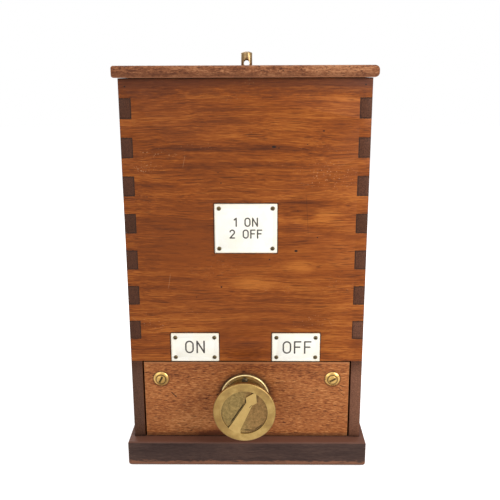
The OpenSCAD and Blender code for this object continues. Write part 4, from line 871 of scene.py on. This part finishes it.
def cupDetail(tree, place, colour, rough):  # painted shade and dirt between each cup and its screw, and painted shade in the slots
    for x, z, angle in cupScrews["slots"]:
        middle = onCase(x, 0, z)
        ring = ringMask(tree, place, middle, *cupScrews["gap"], 0.5)
        reach = Vector((cos(radians(angle)), 0, sin(radians(angle)))) * cupScrews["slotReach"] * mm
        slot = use(tree, scratchGroup, Vector=place, Start=middle - reach, End=middle + reach,
                   Width=cupScrews["slotHalf"] * mm)["Mask"]
        head = ringMask(tree, place, middle, -1, cupScrews["head"])
        dark = calc(tree, "MAXIMUM", times(tree, ring, 0.8), times(tree, slot, head))
        colour = stain(tree, colour, dark, cupScrews["dirty"], cupBrass["dirt"])
        rough = mixValue(tree, dark, rough, 0.8)
    return colour, rough, None


def flangeDetail(tree, place, colour, rough):  # inside its bead, a brown and cloudy painted reflection of the knob's dark back
    inside = ringMask(tree, place, spindleAt, -1, flangeDishReflection["radius"], 0.4)
    cloud = noise(tree, place, flangeDishReflection["clouds"], 3.0, 0.6)
    brown = ramp(tree, cloud, (0.3, flangeDishReflection["dark"]), (0.7, flangeDishReflection["light"]))
    return stain(tree, colour, inside, flangeDishReflection["share"], brown), rough, None


def metalFinish(name, look, detail=None):
    material, tree, shader, place = startMaterial(name)
    tarnish = use(tree, tarnishGroup, **metalAge["stains"])
    clouds = tarnish["Clouds"]
    colour = ramp(tree, clouds, (0.34, look["dull"]), (0.5, look["middle"]), (0.66, look["bright"]))
    colour = mixColour(tree, metalAge["evened"], colour, look["middle"])
    rough = span(tree, clouds, 0.3, 0.7, look["rough"] + 0.12, look["rough"] - 0.08)
    floor = None
    if detail:
        colour, rough, floor = detail(tree, place, colour, rough)
    # the arrises are painted lighter: rubbed brass and painted highlights
    wear = use(tree, wearGroup, **metalAge["arrises"])["Wear"]
    colour = stain(tree, colour, wear, metalAge["rubbed"], look["bright"])
    share = look["pits"] if floor is None else mixValue(tree, floor, look["pits"], knobFloor["pits"])
    colour = stain(tree, colour, tarnish["Pits"], share, look["dirt"])
    # hollows darken as they close in: dirt and painted shade
    grime = use(tree, grimeAndShadeGroup, Reach=look["reach"] * mm, Start=look["start"],
                Full=look["start"] + 0.3, BreakupSize=metalAge["grimePatch"] * mm)["Grime"]
    grime = times(tree, grime, look["grime"])
    colour = mixColour(tree, grime, colour, look["dirt"])
    rough = mixValue(tree, grime, rough, 0.8)
    feed(tree, shader.inputs["Metallic"], minus(tree, 1.0, times(tree, grime, 0.7)))
    height = minus(tree, times(tree, tarnish["Rubbing"], 0.3), tarnish["Pits"])
    if floor is not None:
        cast = times(tree, noise(tree, place, knobFloor["casting"], 3.0, 0.7), floor)
        height = plus(tree, height, times(tree, cast, 5.0))
    dress(tree, shader, colour, rough, height, metalAge["relief"], 0.5)
    return material


# Plates, their engraving and the other finishes; clouds and the like are counted to the metre
ivorine = {"colour": (0.95, 0.94, 0.87), "warm": (0.95, 0.92, 0.8), "edge": (0.8, 0.66, 0.42),
           "grime": (0.22, 0.15, 0.08), "rough": 0.32, "clouds": 90.0, "fine": 1600.0}
engravingWax = {"dark": (0.026, 0.02, 0.017), "dry": (0.095, 0.078, 0.066), "rough": 0.7,
                "patches": 420.0}
ebonite = {"dark": (0.012, 0.011, 0.01), "brown": (0.034, 0.028, 0.02), "edge": (0.09, 0.075, 0.055),
           "clouds": 60.0, "turning": (2600, 300, 2600)}
cotton = {"dark": (0.055, 0.08, 0.045), "light": (0.17, 0.22, 0.13), "soot": (0.05, 0.045, 0.035),
          "rough": 0.8, "threads": 6500, "fluff": 1500.0, "smudges": 70.0}  # how closely each is set


def ivorineFinish():
    material, tree, shader, place = startMaterial("ivory plate")
    cloud = noise(tree, place, ivorine["clouds"], 3.0, 0.55)
    colour = mixColour(tree, span(tree, cloud, 0.35, 0.7), ivorine["colour"], ivorine["warm"])
    wear = use(tree, wearGroup, Reach=1.3 * mm, Breakup=0.3, BreakupSize=6 * mm)["Wear"]
    colour = stain(tree, colour, wear, 0.75, ivorine["edge"])
    # the plate darkens where it is closed in: painted shade and dirt
    grime = use(tree, grimeAndShadeGroup, Reach=1.4 * mm, Start=0.2, Full=0.6, BreakupSize=2 * mm)["Grime"]
    colour = stain(tree, colour, grime, 0.8, ivorine["grime"])
    fine = noise(tree, place, ivorine["fine"], 2.0, 0.6)
    rough = span(tree, fine, 0.3, 0.7, ivorine["rough"] - 0.05, ivorine["rough"] + 0.1)
    dress(tree, shader, colour, rough, fine, 0.01, 0.3)
    return material


def waxFinish():
    material, tree, shader, place = startMaterial("engraving wax")
    patchy = noise(tree, place, engravingWax["patches"], 3.0, 0.6)
    colour = ramp(tree, patchy, (0.35, engravingWax["dark"]), (0.7, engravingWax["dry"]))
    dress(tree, shader, colour, engravingWax["rough"], patchy, 0.02, 0.4)
    return material


def eboniteFinish():
    material, tree, shader, place = startMaterial("ebonite")
    cloud = noise(tree, place, ebonite["clouds"], 4.0, 0.6)
    colour = ramp(tree, cloud, (0.35, ebonite["dark"]), (0.65, ebonite["brown"]))
    wear = use(tree, wearGroup, Reach=0.8 * mm, Breakup=0.6, BreakupSize=6 * mm)["Wear"]
    colour = stain(tree, colour, wear, 0.6, ebonite["edge"])
    fine = noise(tree, place, 1.0, 2.0, 0.6, stretch=ebonite["turning"])
    dress(tree, shader, colour, span(tree, fine, 0.3, 0.7, 0.34, 0.5), fine, 0.01, 0.5)
    return material


def cottonFinish():
    material, tree, shader, place = startMaterial("waxed cotton covering")
    lengthwise = vectorCalc(tree, "DOT_PRODUCT", place, (cotton["threads"],) * 3)
    slant = times(tree, noise(tree, place, cotton["fluff"], 1.0, 0.5), 2.5)
    thread = calc(tree, "SINE", plus(tree, lengthwise, slant))
    thread = plus(tree, times(tree, thread, 0.5), 0.5)
    colour = mixColour(tree, thread, cotton["dark"], cotton["light"])
    soot = noise(tree, place, cotton["smudges"], 3.0, 0.6)
    colour = mixColour(tree, span(tree, soot, 0.45, 0.75, 0.0, 0.5), colour, cotton["soot"])
    dress(tree, shader, colour, cotton["rough"], thread, 0.15, 0.8)
    return material


finishes = [
    (woodFinish("front mahogany", frontWood), ["front_board"]),
    (woodFinish("back mahogany", backWood), ["back_board"]),
    (woodFinish("side mahogany", sideWood), ["left_side_board"]),
    (woodFinish("lighter side mahogany", rightWood), ["right_side_board"]),
    (woodFinish("rippled mahogany", panelWood), ["lower_front_panel"]),
    (woodFinish("speckled lid wood", lidWood), ["lid_board"]),
    (woodFinish("dark base wood", baseWood), ["base_board"]),
    (woodFinish("bare deal", dealWood), dealParts),
    (metalFinish("handled brass", knobBrass, knobFace), ["control_knob"]),
    (metalFinish("cupped brass", cupBrass, cupDetail), ["panel_screw_cups", "panel_screws"]),
    (metalFinish("bright flange brass", flangeBrass, flangeDetail), ["knob_flange"]),
    (metalFinish("stud brass", studBrass), ["lock_stud"]),
    (metalFinish("turned brass", turnedBrass), [
        "stud_washer", "stud_nut", "spindle", "stop_plate", "stop_pegs", "stop_arm", "contact_segments",
        "thrust_collar", "rear_bearing", "contact_screws", "terminal_studs", "terminal_nuts",
        "thumb_nuts"]),
    (metalFinish("dull brass", dullBrass), [
        "base_screws", "rail_screws", "batten_screws", "knob_pin", "stop_plate_screws", "stop_arm_pin",
        "drum_pin", "segment_screws", "collar_grub_screw", "rear_bearing_screws", "spring_block_screws",
        "terminal_strip_screws"]),
    (metalFinish("darkened screw brass", darkScrew), ["plate_screws", "flange_screws"]),
    (ivorineFinish(), plates),
    (eboniteFinish(), eboniteParts),
    (metalFinish("sprung bronze", springBronze), ["left_contact_springs", "right_contact_springs"]),
    (metalFinish("bare copper", bareCopper), ["wire_loops"]),
    (cottonFinish(), ["left_wires", "right_wires"]),
]
for material, members in finishes:
    for member in members:
        for slot in nodes[member].material_slots:
            slot.material = material
print("finishes on", sum(len(members) for material, members in finishes), "parts")


# Edges that catch the light
softEdges = {  # width in millimetres: parts
    0.4: ["lower_front_panel"],
    0.25: ["front_board", "back_board", "left_side_board", "right_side_board"],
    0.3: [*dealParts, *eboniteParts, "rear_bearing", "stop_arm", "stop_plate", "thrust_collar",
          "control_knob"],
    0.2: ["knob_flange", "lock_stud", "panel_screw_cups"],
    0.1: [*plates, "stud_washer", "stud_nut", "panel_screws", "terminal_nuts", "thumb_nuts",
          "plate_screws", "flange_screws", "contact_screws"],
    0.0: ["lid_board", "base_board"],
}
edgeLimits = {  # the weld in millimetres, the others in degrees
    "weld": 0.002,
    "flat": 0.4,
    "corner": 40,
    "smooth": 28,
}


def makeSmoothing():  # smooth faces, with real corners kept sharp
    group = bpy.data.node_groups.new("smooth by angle", "GeometryNodeTree")
    for inOut in ("INPUT", "OUTPUT"):
        group.interface.new_socket(name="Geometry", in_out=inOut, socket_type="NodeSocketGeometry")
    given = put(group, "NodeGroupInput").outputs
    plain = {"Geometry": given["Geometry"], "Name": "custom_normal"}
    plain = put(group, "GeometryNodeRemoveAttribute", plain)
    faces = put(group, "GeometryNodeSetShadeSmooth", {"Geometry": plain.outputs[0], "Shade Smooth": True},
                domain="FACE")
    angle = put(group, "GeometryNodeInputMeshEdgeAngle").outputs["Unsigned Angle"]
    limits = {0: angle, 1: radians(edgeLimits["smooth"])}
    sharp = put(group, "FunctionNodeCompare", limits, operation="GREATER_THAN")
    edges = put(group, "GeometryNodeSetShadeSmooth", {
        "Geometry": faces.outputs[0], "Selection": sharp.outputs[0], "Shade Smooth": False}, domain="EDGE")
    put(group, "NodeGroupOutput", {"Geometry": edges.outputs[0]})
    return group


def softenEdges(part, width, smoothing):
    weld = part.modifiers.new("weld", "WELD")
    weld.merge_threshold = edgeLimits["weld"] * mm
    flat = part.modifiers.new("flat faces", "DECIMATE")
    flat.decimate_type = "DISSOLVE"
    flat.angle_limit = radians(edgeLimits["flat"])
    if width:
        bevel = part.modifiers.new("soft edges", "BEVEL")
        bevel.width = width * mm
        bevel.segments = 2
        bevel.limit_method = "ANGLE"
        bevel.angle_limit = radians(edgeLimits["corner"])
        bevel.miter_outer = "MITER_ARC"
    part.modifiers.new("smooth by angle", "NODES").node_group = smoothing


smoothing = makeSmoothing()
for width, members in softEdges.items():
    for member in members:
        softenEdges(nodes[member], width, smoothing)
print("edges softened")


# Engraved and filled letters, each a few strokes in a box one unit high
def arc(x, z, wide, high, start, end, steps=12):
    turns = [radians(start + (end - start) * step / steps) for step in range(steps + 1)]
    return [(x + wide * cos(turn), z + high * sin(turn)) for turn in turns]


letters = {  # width and strokes
    "O": (0.6, [arc(0.3, 0.7, 0.3, 0.3, 0, 180) + arc(0.3, 0.3, 0.3, 0.3, 180, 360) + [(0.6, 0.71)]]),
    "N": (0.58, [[(0, 0), (0, 1)], [(0, 1), (0.58, 0)], [(0.58, 0), (0.58, 1)]]),
    "F": (0.5, [[(0, 0), (0, 1)], [(0, 1), (0.5, 1)], [(0, 0.53), (0.42, 0.53)]]),
    "1": (0.24, [[(0, 0.8), (0.24, 1)], [(0.24, 1), (0.24, 0)]]),
    "2": (0.54, [arc(0.27, 0.72, 0.27, 0.28, 165, -30) + [(0, 0)], [(0, 0), (0.54, 0)]]),
    " ": (0.42, []),
}
legends = {  # height and stroke of the letters, and rows as (text, x, z) on the case
    "left_position_plate": (10.6, 1.4, [("ON", -45.4, 87.8)]),
    "right_position_plate": (10.6, 1.4, [("OFF", 44.6, 87.4)]),
    "title_plate": (6.8, 1.2, [("1 ON", 0, 200.2), ("2 OFF", 0, 190.0)]),
}
letterGap = 0.34  # as a share of the letters' height
pressed = 0.06  # the strokes lie nearly flat on the plate


def roundEnded(stretch, radius):  # places and shares of the radius, with a round end at each end
    ends = []
    for (x, z), (nextX, nextZ) in ((stretch[0], stretch[1]), (stretch[-1], stretch[-2])):
        length = hypot(x - nextX, z - nextZ)
        outX, outZ = (x - nextX) / length * radius, (z - nextZ) / length * radius
        turns = [radians(30), radians(60), radians(85)]
        ends.append([(x + outX * sin(turn), z + outZ * sin(turn), cos(turn)) for turn in turns])
    return ends[0][::-1] + [(x, z, 1.0) for x, z in stretch] + ends[1]


def addStroke(curve, stretch, radius):
    ended = roundEnded(stretch, radius)
    line = curve.splines.new("POLY")
    line.points.add(len(ended) - 1)
    for point, (x, z, share) in zip(line.points, ended):
        point.co = (*onCase(x, 0, z), 1)
        point.radius = share


def engrave(plate, height, stroke, rows, wax):
    curve = bpy.data.curves.new(plate + " legend", "CURVE")
    curve.dimensions = "3D"
    curve.bevel_depth = stroke / 2 * mm
    curve.bevel_resolution = 3
    curve.use_fill_caps = True
    for text, middle, z in rows:
        width = sum(letters[letter][0] for letter in text) + letterGap * (len(text) - 1)
        x = middle - width * height / 2
        for letter in text:
            for stretch in letters[letter][1]:
                placed = [(x + across * height, z + (up - 0.5) * height) for across, up in stretch]
                addStroke(curve, placed, stroke / 2)
            x += (letters[letter][0] + letterGap) * height
    legend = addObject(plate + "_legend", curve)
    legend.scale.y = pressed
    legend.location.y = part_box(plate)[0].y - caseFront * pressed  # on the plate's face
    curve.materials.append(wax)
    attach(legend, "case")


wax = waxFinish()
for plate, (height, stroke, rows) in legends.items():
    engrave(plate, height, stroke, rows, wax)
print("plates engraved")

scene.view_settings.view_transform = "Standard"
